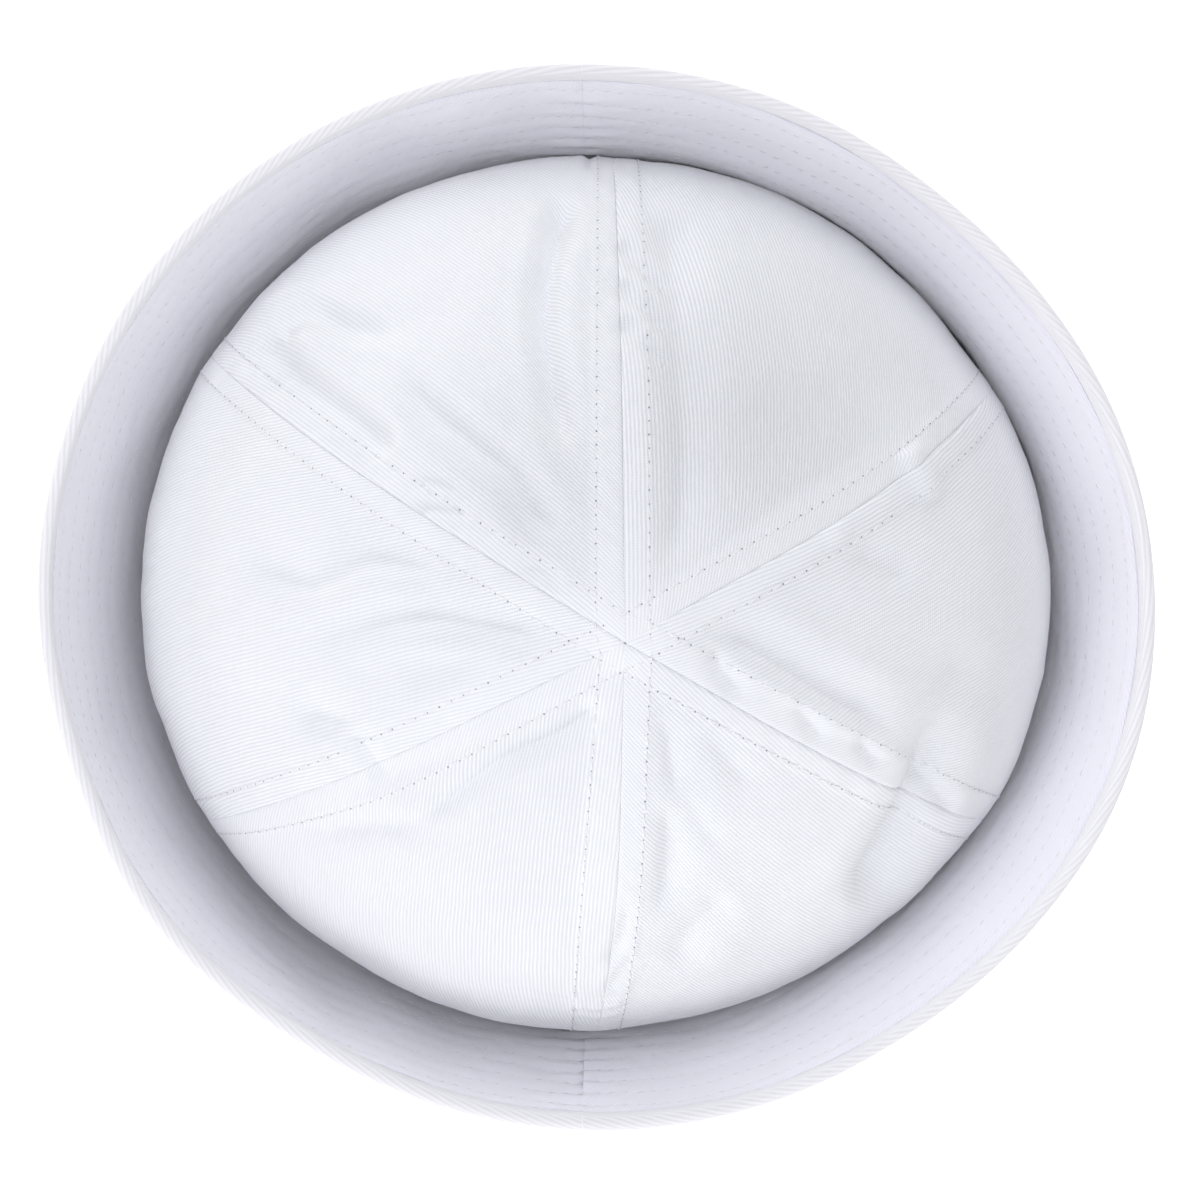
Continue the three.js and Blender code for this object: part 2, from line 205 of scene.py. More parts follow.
@dataclass
class ClothGrid:
    """A piece of cloth as two grids of points, its face and its back, with its flat places."""

    face: Array
    back: Array
    flat: Array
    weave: Array  # places on the cloth for its weave, in millimetres
    rib: Array  # how strongly the ribs stand, 1 as usual

    def flat_size(self) -> tuple[float, float]:
        """Width and length in metres of the rectangle that the cut needs."""
        spans = np.ptp(self.flat.reshape(-1, 2), axis=0) * MM
        return float(spans[0]), float(spans[1])

    def flat_area(self) -> float:
        """Area of the cut in square metres."""
        one = self.flat[1:, 1:] - self.flat[:-1, :-1]
        two = self.flat[1:, :-1] - self.flat[:-1, 1:]
        cells = np.abs(one[..., 0] * two[..., 1] - one[..., 1] * two[..., 0]) / 2
        return float(cells.sum() * MM * MM)

    def piece(self, name: str) -> bpy.types.Object:
        """Makes the closed mesh of the cloth, with its flat places as a UV map.

        Args:
            name: the piece's name.

        Returns:
            The new object, at the origin.
        """
        rows, columns = self.face.shape[:2]
        count = rows * columns
        points = np.concatenate([self.face.reshape(-1, 3), self.back.reshape(-1, 3)]) * MM
        index = np.arange(count).reshape(rows, columns)
        a, b = index[:-1, :-1].ravel(), index[:-1, 1:].ravel()
        c, d = index[1:, 1:].ravel(), index[1:, :-1].ravel()
        face = np.stack([a, d, c, b], axis=1)
        back = np.stack([a, b, c, d], axis=1) + count
        border = np.concatenate(
            [index[0, :-1], index[:-1, -1], index[-1, :0:-1], index[:0:-1, 0]]
        )
        after = np.roll(border, -1)
        wall = np.stack([border, after, after + count, border + count], axis=1)
        quads = np.concatenate([face, back, wall])
        if self._volume(points, quads) < 0:
            quads = quads[:, ::-1]
        mesh = bpy.data.meshes.new(name)
        mesh.vertices.add(len(points))
        mesh.vertices.foreach_set("co", points.astype(np.float32).ravel())
        mesh.loops.add(quads.size)
        mesh.loops.foreach_set("vertex_index", quads.astype(np.int32).ravel())
        mesh.polygons.add(len(quads))
        starts = np.arange(0, quads.size, 4, dtype=np.int32)
        mesh.polygons.foreach_set("loop_start", starts)
        mesh.update(calc_edges=True)
        flat = np.tile(self.weave.reshape(-1, 2) * MM, (2, 1))
        uv = mesh.uv_layers.new(name=CLOTH_MAP)
        uv.data.foreach_set("uv", flat[quads.ravel()].astype(np.float32).ravel())
        rib = mesh.attributes.new(RIB_MARK, "FLOAT", "POINT")
        rib.data.foreach_set("value", np.tile(self.rib.ravel(), 2).astype(np.float32))
        mesh.shade_smooth()
        mesh.set_sharp_from_angle(angle=math.radians(55))
        return new_object(name, mesh)

    @staticmethod
    def _volume(points: Array, quads: Array) -> float:
        """Six times the volume that the quads enclose, negative if they face inwards."""
        corners = points[quads]
        halves = np.cross(corners[:, 1], corners[:, 2]) + np.cross(corners[:, 2], corners[:, 3])
        return float(np.einsum("ij,ij->", corners[:, 0], halves))


# -------------------- finishes


class NodeBench:
    """Puts nodes into one tree and joins them."""

    def __init__(self, tree: bpy.types.NodeTree) -> None:
        """Takes the tree that the nodes go into.

        Args:
            tree: the tree of a material or of a modifier.
        """
        self.tree = tree

    def node(self, kind: str, **settings: object) -> Node:
        """Adds a node.

        Args:
            kind: the node's type name.
            settings: properties set on it.

        Returns:
            The node.
        """
        made = self.tree.nodes.new(kind)
        for key, value in settings.items():
            setattr(made, key, value)
        return made

    def feed(self, target: Socket, value: object) -> None:
        """Links a socket to an input, or sets a number or a colour on it."""
        if isinstance(value, Socket):
            self.tree.links.new(value, target)
        else:
            target.default_value = value

    def wired(self, kind: str, inputs: dict[str | int, object], **settings: object) -> Node:
        """Adds a node and feeds its inputs.

        Args:
            kind: the node's type name.
            inputs: a socket, number or colour for each input, by its name or number.
            settings: properties set on it.

        Returns:
            The node.
        """
        made = self.node(kind, **settings)
        for key, value in inputs.items():
            self.feed(made.inputs[key], value)
        return made

    def maths(
        self, operation: str, a: Value, b: Value = 0.0, c: Value = 0.0, clamp: bool = False
    ) -> Socket:
        """Adds a maths node.

        Args:
            operation: the node's operation.
            a: first input.
            b: second input.
            c: third input.
            clamp: whether the result is kept from 0 to 1.

        Returns:
            The result's socket.
        """
        made = self.node("ShaderNodeMath", operation=operation, use_clamp=clamp)
        for socket, value in zip(made.inputs, (a, b, c)):
            self.feed(socket, value)
        return made.outputs[0]


class ShaderBench(NodeBench):
    """Puts nodes into one material and joins them."""

    def __init__(self, name: str) -> None:
        """Starts a material with a shader and its output.

        Args:
            name: the material's name.
        """
        self.material = bpy.data.materials.new(name)
        self.material.use_nodes = True
        super().__init__(self.material.node_tree)
        self.tree.nodes.clear()
        self.shader = self.node("ShaderNodeBsdfPrincipled")
        self.wired("ShaderNodeOutputMaterial", {"Surface": self.shader.outputs["BSDF"]})

    def dress(self, inputs: dict[str, object]) -> None:
        """Feeds the shader's inputs.

        Args:
            inputs: a socket, number or colour for each input, by its name.
        """
        for key, value in inputs.items():
            self.feed(self.shader.inputs[key], value)

    def noise(self, place: Socket, scale: float, detail: float = 2.0) -> Socket:
        """Adds a noise texture.

        Args:
            place: coordinates it reads.
            scale: its frequency.
            detail: its octaves.

        Returns:
            The factor, about 0.5 on average.
        """
        inputs = {"Vector": place, "Scale": scale, "Detail": detail}
        return self.wired("ShaderNodeTexNoise", inputs, noise_dimensions="3D").outputs["Fac"]

    def bump(self, height: Socket, strength: float, distance: float) -> Socket:
        """Adds a bump.

        Args:
            height: the relief, from 0 to 1.
            strength: how strongly it shows.
            distance: height in metres of a relief of 1.

        Returns:
            The bumped normal.
        """
        inputs = {"Height": height, "Strength": strength, "Distance": distance}
        return self.wired("ShaderNodeBump", inputs).outputs["Normal"]

    def tint(self, share: Socket, low: tuple[float, ...], high: tuple[float, ...]) -> Socket:
        """Mixes two colours.

        Args:
            share: 0 for the first colour and 1 for the second.
            low: first colour.
            high: second colour.

        Returns:
            The colour's socket.
        """
        inputs = {0: share, 6: (*low, 1.0), 7: (*high, 1.0)}
        return self.wired("ShaderNodeMix", inputs, data_type="RGBA").outputs[2]


@dataclass(frozen=True)
class TwillFinish:
    """Bleached 3/1 cotton twill: slanting ribs of white yarn, with the cloth's own unevenness and
    painted shade in the weave's hollows.
    """

    name: str
    # ridge: colour on the ribs' tops; groove: colour in the weave's hollows, a painted shade
    ridge: tuple[float, float, float]
    groove: tuple[float, float, float]
    rib_height: float = 0.11  # millimetres
    warp: float = 0.200  # spacing of the warp yarns, millimetres
    pick: float = 0.546  # spacing of the weft yarns, millimetres
    rib_place: float = 0.62  # of a rib's ridge in the weave's repeat
    rib_power: float = 1.7  # of the groove's section, above 1 for a narrow groove
    rib_weight: float = 0.55  # depth of the groove between ribs as a share of the whole
    yarn_weight: float = 0.26  # depth beside a yarn as a share of the whole
    float_share: float = 0.78  # of the repeat, over which a warp yarn lies on top
    wander: float = 4.0  # yarns between the furthest places that the warp wanders to
    wander_scale: float = 60.0
    fluff: float = 0.30  # height of the lint as a share of a rib's
    fluff_scale: float = 2400.0
    blotch: float = 0.30  # span of the uneven bleaching as a share of the groove's shade
    blotch_scale: float = 45.0
    roughness: float = 0.86
    specular: float = 0.25
    sheen: float = 0.30
    sheen_roughness: float = 0.6

    def make(self) -> bpy.types.Material:
        """Builds the cloth's material.

        Returns:
            The material, which reads a piece's UV map and its attribute for the ribs.
        """
        bench = ShaderBench(self.name)
        flat = bench.node("ShaderNodeUVMap", uv_map=CLOTH_MAP).outputs["UV"]
        strength = bench.node("ShaderNodeAttribute", attribute_name=RIB_MARK).outputs["Fac"]
        split = bench.wired("ShaderNodeSeparateXYZ", {0: flat})
        slow = bench.noise(flat, self.wander_scale)
        wander = bench.maths("MULTIPLY_ADD", slow, self.wander, -self.wander / 2)
        across = bench.maths("MULTIPLY_ADD", split.outputs[0], 1.0 / (self.warp * MM), wander)
        along = bench.maths("MULTIPLY", split.outputs[1], 0.25 / (self.pick * MM))
        hollow = self._hollow(bench, across, along)
        fluff = bench.noise(flat, self.fluff_scale)
        depth = bench.maths("MULTIPLY", hollow, strength)
        rest = bench.maths("SUBTRACT", 1.0, depth)
        height = bench.maths("MULTIPLY_ADD", fluff, self.fluff, rest)
        blotch = bench.noise(flat, self.blotch_scale, 3.0)
        shade = bench.maths("MULTIPLY_ADD", blotch, self.blotch, -self.blotch / 2)
        # painted shade in the weave's hollows: the groove colour is mixed in where the weave is
        # deep
        hollow_shade = bench.maths("MULTIPLY", hollow, bench.maths("MULTIPLY_ADD", strength, 0.4, 0.6))
        share = bench.maths("ADD", hollow_shade, shade, clamp=True)
        bench.dress({
            "Normal": bench.bump(height, 1.0, self.rib_height * MM),
            "Base Color": bench.tint(share, self.ridge, self.groove),
            "Roughness": bench.maths("MULTIPLY_ADD", share, 0.08, self.roughness),
            "Specular IOR Level": self.specular,
            "Diffuse Roughness": 1.0,
            "Sheen Weight": self.sheen,
            "Sheen Roughness": self.sheen_roughness,
        })
        return bench.material

    def _hollow(self, bench: ShaderBench, across: Socket, along: Socket) -> Socket:
        """Adds the depth of the weave.

        Args:
            bench: the material's bench.
            across: distance across the warp, in yarns.
            along: distance along the warp, in repeats.

        Returns:
            The depth, 0 on a rib's top and 1 in the corners between the yarns.
        """
        rib = self._rib(bench, across, along)
        yarn = self._yarn(bench, across, along)
        picks = bench.maths("COSINE", bench.maths("MULTIPLY", along, 4.0 * math.tau))
        cross = bench.maths("MULTIPLY_ADD", picks, 0.5, 0.5)
        lines = bench.maths("MULTIPLY", cross, bench.maths("MULTIPLY_ADD", rib, 0.20, 0.10))
        return bench.maths("ADD", bench.maths("MULTIPLY_ADD", rib, self.rib_weight, lines), yarn)

    def _rib(self, bench: ShaderBench, across: Socket, along: Socket) -> Socket:
        """The slanting groove between two ribs: 0 on a ridge and 1 at its bottom."""
        phase = bench.maths("MULTIPLY_ADD", across, -0.25, along)
        turn = bench.maths("MULTIPLY_ADD", phase, math.tau, -math.tau * self.rib_place)
        wave = bench.maths("MULTIPLY_ADD", bench.maths("COSINE", turn), -0.5, 0.5)
        return bench.maths("POWER", wave, self.rib_power)

    def _yarn(self, bench: ShaderBench, across: Socket, along: Socket) -> Socket:
        """Adds the hollow beside each warp yarn, and where it dips under a weft.

        Args:
            bench: the material's bench.
            across: distance across the warp, in yarns.
            along: distance along the warp, in repeats.

        Returns:
            The hollow's depth.
        """
        yarn = bench.maths("FLOOR", across)
        side = bench.maths("FRACT", across)
        middle = bench.maths("MULTIPLY_ADD", side, 2.0, -1.0)
        round_top = bench.maths("MULTIPLY_ADD", bench.maths("MULTIPLY", middle, middle), -1.0, 1.0)
        step = bench.maths("FRACT", bench.maths("MULTIPLY_ADD", yarn, -0.25, along))
        past = 1.0 - 1.0 / self.float_share
        run = bench.maths("MULTIPLY_ADD", step, 1.0 / self.float_share, past, clamp=True)
        arch = bench.maths("MULTIPLY", run, bench.maths("SUBTRACT", 1.0, run))
        lift = bench.maths("POWER", bench.maths("MULTIPLY", arch, 4.0), 0.6)
        top = bench.maths("MULTIPLY", round_top, lift)
        return bench.maths("MULTIPLY_ADD", top, -self.yarn_weight, self.yarn_weight)


@dataclass(frozen=True)
class ThreadFinish:
    """Smooth white sewing thread with its slanting ply, or the shade in a needle hole."""

    name: str
    light: tuple[float, float, float]
    dark: tuple[float, float, float]
    roughness: float
    twist: float = 2600.0  # scale of the ply's noise
    relief: float = 0.04  # of the ply, in millimetres

    def make(self) -> bpy.types.Material:
        """Builds the material from the object's own coordinates.

        Returns:
            The material.
        """
        bench = ShaderBench(self.name)
        place = bench.node("ShaderNodeTexCoord").outputs["Object"]
        ply = bench.noise(place, self.twist)
        bench.dress({
            "Base Color": bench.tint(ply, self.dark, self.light),
            "Roughness": bench.maths("MULTIPLY_ADD", ply, 0.15, self.roughness),
            "Normal": bench.bump(ply, 0.6, self.relief * MM),
            "Specular IOR Level": 0.3,
        })
        return bench.material


# -------------------- crown form


RIDGE_PLACE = 2.2  # of the ridges beside a fold, in half widths from its bottom
RIDGE_WIDTH = 0.8  # half width of such a ridge, in half widths of the fold
LINE_STEP = 0.7  # between the points of a fold's line, in millimetres


@dataclass(frozen=True)
class Fold:
    """A valley pressed into the crown along a path in plan, with ridges thrown up beside it."""

    name: str
    path: tuple[tuple[float, float], ...]
    width: float  # half width of the valley
    depth: float  # below zero for a ridge
    steep: float = 0.0  # from -1 to 1, how much steeper its left side is than its right one
    ridge: float = 0.1  # height of the ridges beside it, as a share of the depth
    start: float = 6.0  # distance over which it deepens from its first end
    end: float = 6.0  # distance over which it runs out to its last end
    power: float = 1.7  # of its side's curve, 1 for a sharp crest

    def _line(self) -> tuple[Array, Array, Array]:
        """Close points along the path, the directions there, and the distances run."""
        knots = np.array(self.path, dtype=float)
        steps = np.linalg.norm(np.diff(knots, axis=0), axis=1)
        marks = np.concatenate([[0.0], np.cumsum(steps)])
        fine = np.linspace(0.0, marks[-1], max(4, int(marks[-1] / LINE_STEP)))
        line = np.stack([smooth_curve(fine, marks, knots[:, k]) for k in (0, 1)], axis=-1)
        return line, unit(np.gradient(line, axis=0)), run_lengths(line, 0)

    def height(self, x: Array, y: Array) -> Array:
        """Height that the fold adds at places in plan.

        Args:
            x: in mm.
            y: in mm.

        Returns:
            Heights in mm, below zero in the valley.
        """
        line, along, run = self._line()
        margin = 5.0 * self.width
        low, high = line.min(axis=0) - margin, line.max(axis=0) + margin
        near = (x > low[0]) & (x < high[0]) & (y > low[1]) & (y < high[1])
        place = np.stack([x[near], y[near]], axis=-1)
        apart = np.sum((place[:, None, :] - line[None, :, :]) ** 2, axis=-1)
        at = np.argmin(apart, axis=1)
        offset = place - line[at]
        side = along[at, 0] * offset[:, 1] - along[at, 1] * offset[:, 0]
        went = run[at] + np.sum(offset * along[at], axis=-1)
        wide = self.width * (1.0 - 0.5 * self.steep * np.sign(side))
        s = np.abs(side) / wide
        ridges = self.ridge * bell(s - RIDGE_PLACE, RIDGE_WIDTH)
        profile = np.exp(-(s**self.power)) - ridges
        amount = smooth_step(0.0, self.start, went)
        amount = amount * smooth_step(run[-1], run[-1] - self.end, went)
        result = np.zeros_like(x)
        result[near] = -self.depth * profile * amount
        return result


FOLDS = (
    Fold(
        "valley beside +Y seam", ((-6, 84), (-9, 73.5), (-11, 61), (-9.5, 48), (-5.5, 29.5)),
        width=2.5, depth=4.3, steep=-0.1, start=5, end=14,
    ),
    Fold(
        "slack beside +Y seam", ((-15.5, 71.5), (-13.5, 54), (-9.5, 27.5)),
        width=9.5, depth=1.5, ridge=0, start=12, end=12,
    ),
    Fold(
        "slack at the edge of upper left gore", ((-54, 41), (-40, 56.5), (-19.5, 69)),
        width=7, depth=1.3, ridge=0, start=12, end=10,
    ),
    Fold(
        "valley along left upper seam", ((-70, 53.5), (-59, 44), (-50, 38), (-40.5, 30.5)),
        width=3.3, depth=3.7, ridge=0.2, start=1.5, end=5,
    ),
    Fold(
        "crease above left upper seam",
        ((-65.5, 55), (-62.5, 57.5), (-58.5, 59), (-52, 57), (-39, 56)),
        width=2.2, depth=2.9, ridge=0.2, start=1, end=10,
    ),
    Fold(
        "bent valley of upper left gore",
        ((-40, 50.5), (-35.5, 42), (-26, 33.5), (-16.5, 26), (-14, 21), (-7, 13)),
        width=3.1, depth=3.7, ridge=0.15, start=14, end=8,
    ),
    Fold(
        "upper wave of left gore",
        ((-74.5, 11.5), (-68, 6.5), (-59, 4), (-47, 9), (-39, 8.5), (-30, 6)),
        width=3.3, depth=2.6, steep=-0.3, ridge=0.15, start=12, end=9,
    ),
    Fold(
        "middle wave of left gore", ((-58, -8), (-50, -5), (-36, -2.5), (-20, -4), (-9, -6.5)),
        width=3, depth=2.9, steep=-0.3, ridge=0.15, start=20, end=8,
    ),
    Fold(
        "lower wave of left gore", ((-40, -13.5), (-30, -12), (-18.5, -8)),
        width=3.4, depth=1.2, ridge=0.2, start=8, end=8,
    ),
    Fold(
        "dent near left lower seam", ((-62.5, -22), (-56, -23.5), (-48, -24.5)),
        width=3.2, depth=2.2, steep=-0.5, start=5, end=5,
    ),
    Fold(
        "valley of left lower gore",
        ((1, -18.5), (-5, -23.5), (-20, -31.5), (-27, -37), (-35.5, -44.5)),
        width=2.4, depth=3.8, steep=0.3, start=5, end=8, power=1.5,
    ),
    Fold(
        "tail of that valley", ((-31.5, -42), (-37, -44.5), (-48, -45.5), (-63, -49)),
        width=2.8, depth=1.6, steep=0.2, start=8, end=16,
    ),
    Fold(
        "nick across left lower seam", ((-50, -26), (-46.5, -30), (-43, -35.5)),
        width=2, depth=1.3, steep=-0.8, ridge=0, start=1.5, end=2,
    ),
    Fold(
        "valley beside -Y seam", ((13.5, -19.5), (15, -30.5), (17, -42)),
        width=2.9, depth=1.6, steep=-0.76, start=8, end=10,
    ),
    Fold(
        "lower valley beside -Y seam", ((14, -38.5), (14.5, -50), (14, -58), (12, -65)),
        width=2.9, depth=2.5, steep=-0.76, start=8, end=9,
    ),
    Fold(
        "first pull of right lower gore", ((20.5, -24), (26, -30), (32, -38)),
        width=2.6, depth=0.9,
    ),
    Fold(
        "second pull of right lower gore", ((17, -36), (21.5, -44), (26.5, -51)),
        width=2.6, depth=0.9,
    ),
    Fold(
        "hollow low on right lower gore", ((15.5, -76), (20, -67), (28, -58.5)),
        width=3.6, depth=1.9, start=5,
    ),
    Fold(
        "pucker across right lower seam", ((72, -18), (67.5, -35.5), (62, -48.5), (53, -64.5)),
        width=4.2, depth=5, ridge=0.12, start=17, end=9,
    ),
    Fold(
        "head of the pucker", ((75.5, -5.5), (71.5, -25)),
        width=6.5, depth=2.2, ridge=0, start=9, end=9,
    ),
    Fold(
        "valley along right lower seam", ((20.5, -3.5), (29, -7), (45.5, -17), (63, -27.5)),
        width=3, depth=2.5, steep=-0.7, ridge=0.25, start=12, end=12,
    ),
    Fold(
        "first pull on right lower seam", ((22, -7), (25.5, -13), (30, -18.5)),
        width=1.9, depth=1.6, ridge=0.05, start=4, end=4,
    ),
    Fold(
        "second pull on right lower seam", ((39.5, -18.5), (42.5, -23), (46, -28)),
        width=1.9, depth=1.3, ridge=0, start=3, end=3,
    ),
    Fold(
        "third pull on right lower seam", ((52, -25), (57, -33.5)),
        width=1.8, depth=1.7, ridge=0, start=3, end=3,
    ),
    Fold(
        "fourth pull on right lower seam", ((67, -33), (73.5, -44.5)),
        width=1.8, depth=1.6, ridge=0, start=3, end=3,
    ),
    *(
        Fold(
            f"pull on +Y seam at {high} mm", ((4.5, high), (13.5, high - 8.5)),
            width=1.7, depth=1.9, ridge=0.15, start=2, end=1,
        )
        for high in (73, 65, 57.5)
    ),
    Fold(
        "valley right of +Y seam", ((14.5, 81), (16.5, 59), (17.5, 38), (17.5, 24), (15, 6.5)),
        width=4.4, depth=3.2, steep=-0.35, ridge=0.05, end=10,
    ),
    Fold(
        "bump on right upper seam", ((61.5, 31), (65, 26), (68, 19.5)),
        width=2.8, depth=-2.6, steep=-0.6, start=2, end=3,
    ),
    Fold(
        "bump under right upper seam", ((47, 17), (49.5, 12)),
        width=2.2, depth=-1.1, start=2, end=2,
    ),
    Fold(
        "crease under right upper seam", ((50, 11), (57, 7.5), (65, 4.5)),
        width=3.4, depth=1.9, steep=-0.2, start=5, end=5,
    ),
    Fold(
        "first pinch of left upper seam", ((-68.5, 59.5), (-63.5, 62), (-57.5, 63.5)),
        width=1, depth=0.8, ridge=0.4, start=1, end=3,
    ),
    Fold(
        "second pinch of left upper seam", ((-65.5, 58), (-61, 60), (-55, 62)),
        width=1, depth=0.7, ridge=0.4, start=1, end=3,
    ),
    Fold(
        "first pull on left upper seam", ((-69.5, 45), (-64, 48)),
        width=1, depth=1, ridge=0.3, start=1, end=1,
    ),
    Fold(
        "second pull on left upper seam", ((-66.5, 42.5), (-61, 46)),
        width=1, depth=1, ridge=0.3, start=1, end=1,
    ),
    Fold(
        "third pull on left upper seam", ((-35.5, 20), (-25.5, 18.5)),
        width=1.4, depth=1.3, ridge=0.2, start=1, end=2,
    ),
    Fold(
        "fourth pull on left upper seam", ((-36.5, 25.5), (-27.5, 23.5)),
        width=1.4, depth=0.9, ridge=0.2, start=2, end=2,
    ),
    Fold(
        "fifth pull on left upper seam", ((-14.5, 8.5), (-7, 6)),
        width=1.3, depth=1, ridge=0.2, start=2, end=2,
    ),
    Fold(
        "first ridge at the end of -Y seam", ((-5, -83.5), (0, -84), (5.5, -83)),
        width=0.9, depth=-0.8, ridge=0.5, start=1, end=1,
    ),
    Fold(
        "second ridge at the end of -Y seam", ((-4, -85.5), (0.5, -86.5), (5, -85.5)),
        width=0.7, depth=-0.6, ridge=0.5, start=1, end=1,
    ),
    Fold(
        "first pull on -Y seam", ((2.5, -74.5), (5, -68.5), (7, -61)),
        width=1.4, depth=1.1, start=2, end=2,
    ),
    Fold(
        "second pull on -Y seam", ((2.5, -80.5), (7.5, -72)),
        width=1.2, depth=0.8, ridge=0.2, start=1.5, end=1.5,
    ),
    Fold(
        "dent at the top edge", ((-1.5, 92.5), (-1.5, 88)),
        width=0.8, depth=0.6, ridge=0.3, start=0.2, end=2,
    ),
)


@dataclass(frozen=True)
class PressedPatch:
    """A round part of the crown where the ribs stand more or less than usual."""

    x: float
    y: float
    radius: float
    change: float

    def share(self, x: Array, y: Array) -> Array:
        """Change of the ribs' strength at places in plan."""
        return self.change * bell(np.hypot(x - self.x, y - self.y), self.radius)


PRESSED_PATCHES = (
    PressedPatch(x=28, y=38, radius=26, change=1.7),
    PressedPatch(x=-16, y=20, radius=16, change=0.85),
    PressedPatch(x=45, y=-42, radius=30, change=-0.45),
    PressedPatch(x=-42, y=74, radius=26, change=-0.45),
)


CROWN_GIRTH = {
    0: 0.1, 20: -0.1, 30: -0.9, 40: -1.5, 50: -0.7, 65: -0.1, 90: -0.1, 110: 0.8, 140: 1.1,
    160: 0.6, 180: 0.8, 200: 0.7, 220: 0.2, 240: 0.6, 268: 0.5, 285: -0.4, 300: -0.8,
    311: -1.4, 322: -0.7, 340: 0.7,
}  # angle round the hat in degrees, and how far the crown stands outside its ellipse there


def crown_girth() -> ClosedCurve:
    """How far the crown's widest ring stands outside its ellipse, around the hat."""
    return ClosedCurve(list(CROWN_GIRTH), list(CROWN_GIRTH.values()))


@dataclass(frozen=True)
class Rings:
    """Rings of the crown, from the top down."""

    turn: Array  # 0 at the top to a quarter turn at the widest ring
    height: Array
    bulge: Array  # 1 on the dome, falling to 0 at the lower edge


@dataclass(frozen=True)
class RowPath:
    """How far a row of stitching runs from the straight line of its crown seam."""

    start: float  # at the top, above zero on the anticlockwise side
    end: float  # at the widest ring
    bow: float  # of its middle, anticlockwise

    def offset(self, share: Array, swing: Array) -> Array:
        """Distances from the line at shares of its length, where it swings out so far."""
        along = np.clip(share, 0.0, 1.0)
        return self.start + (self.end - self.start) * along + self.bow * swing


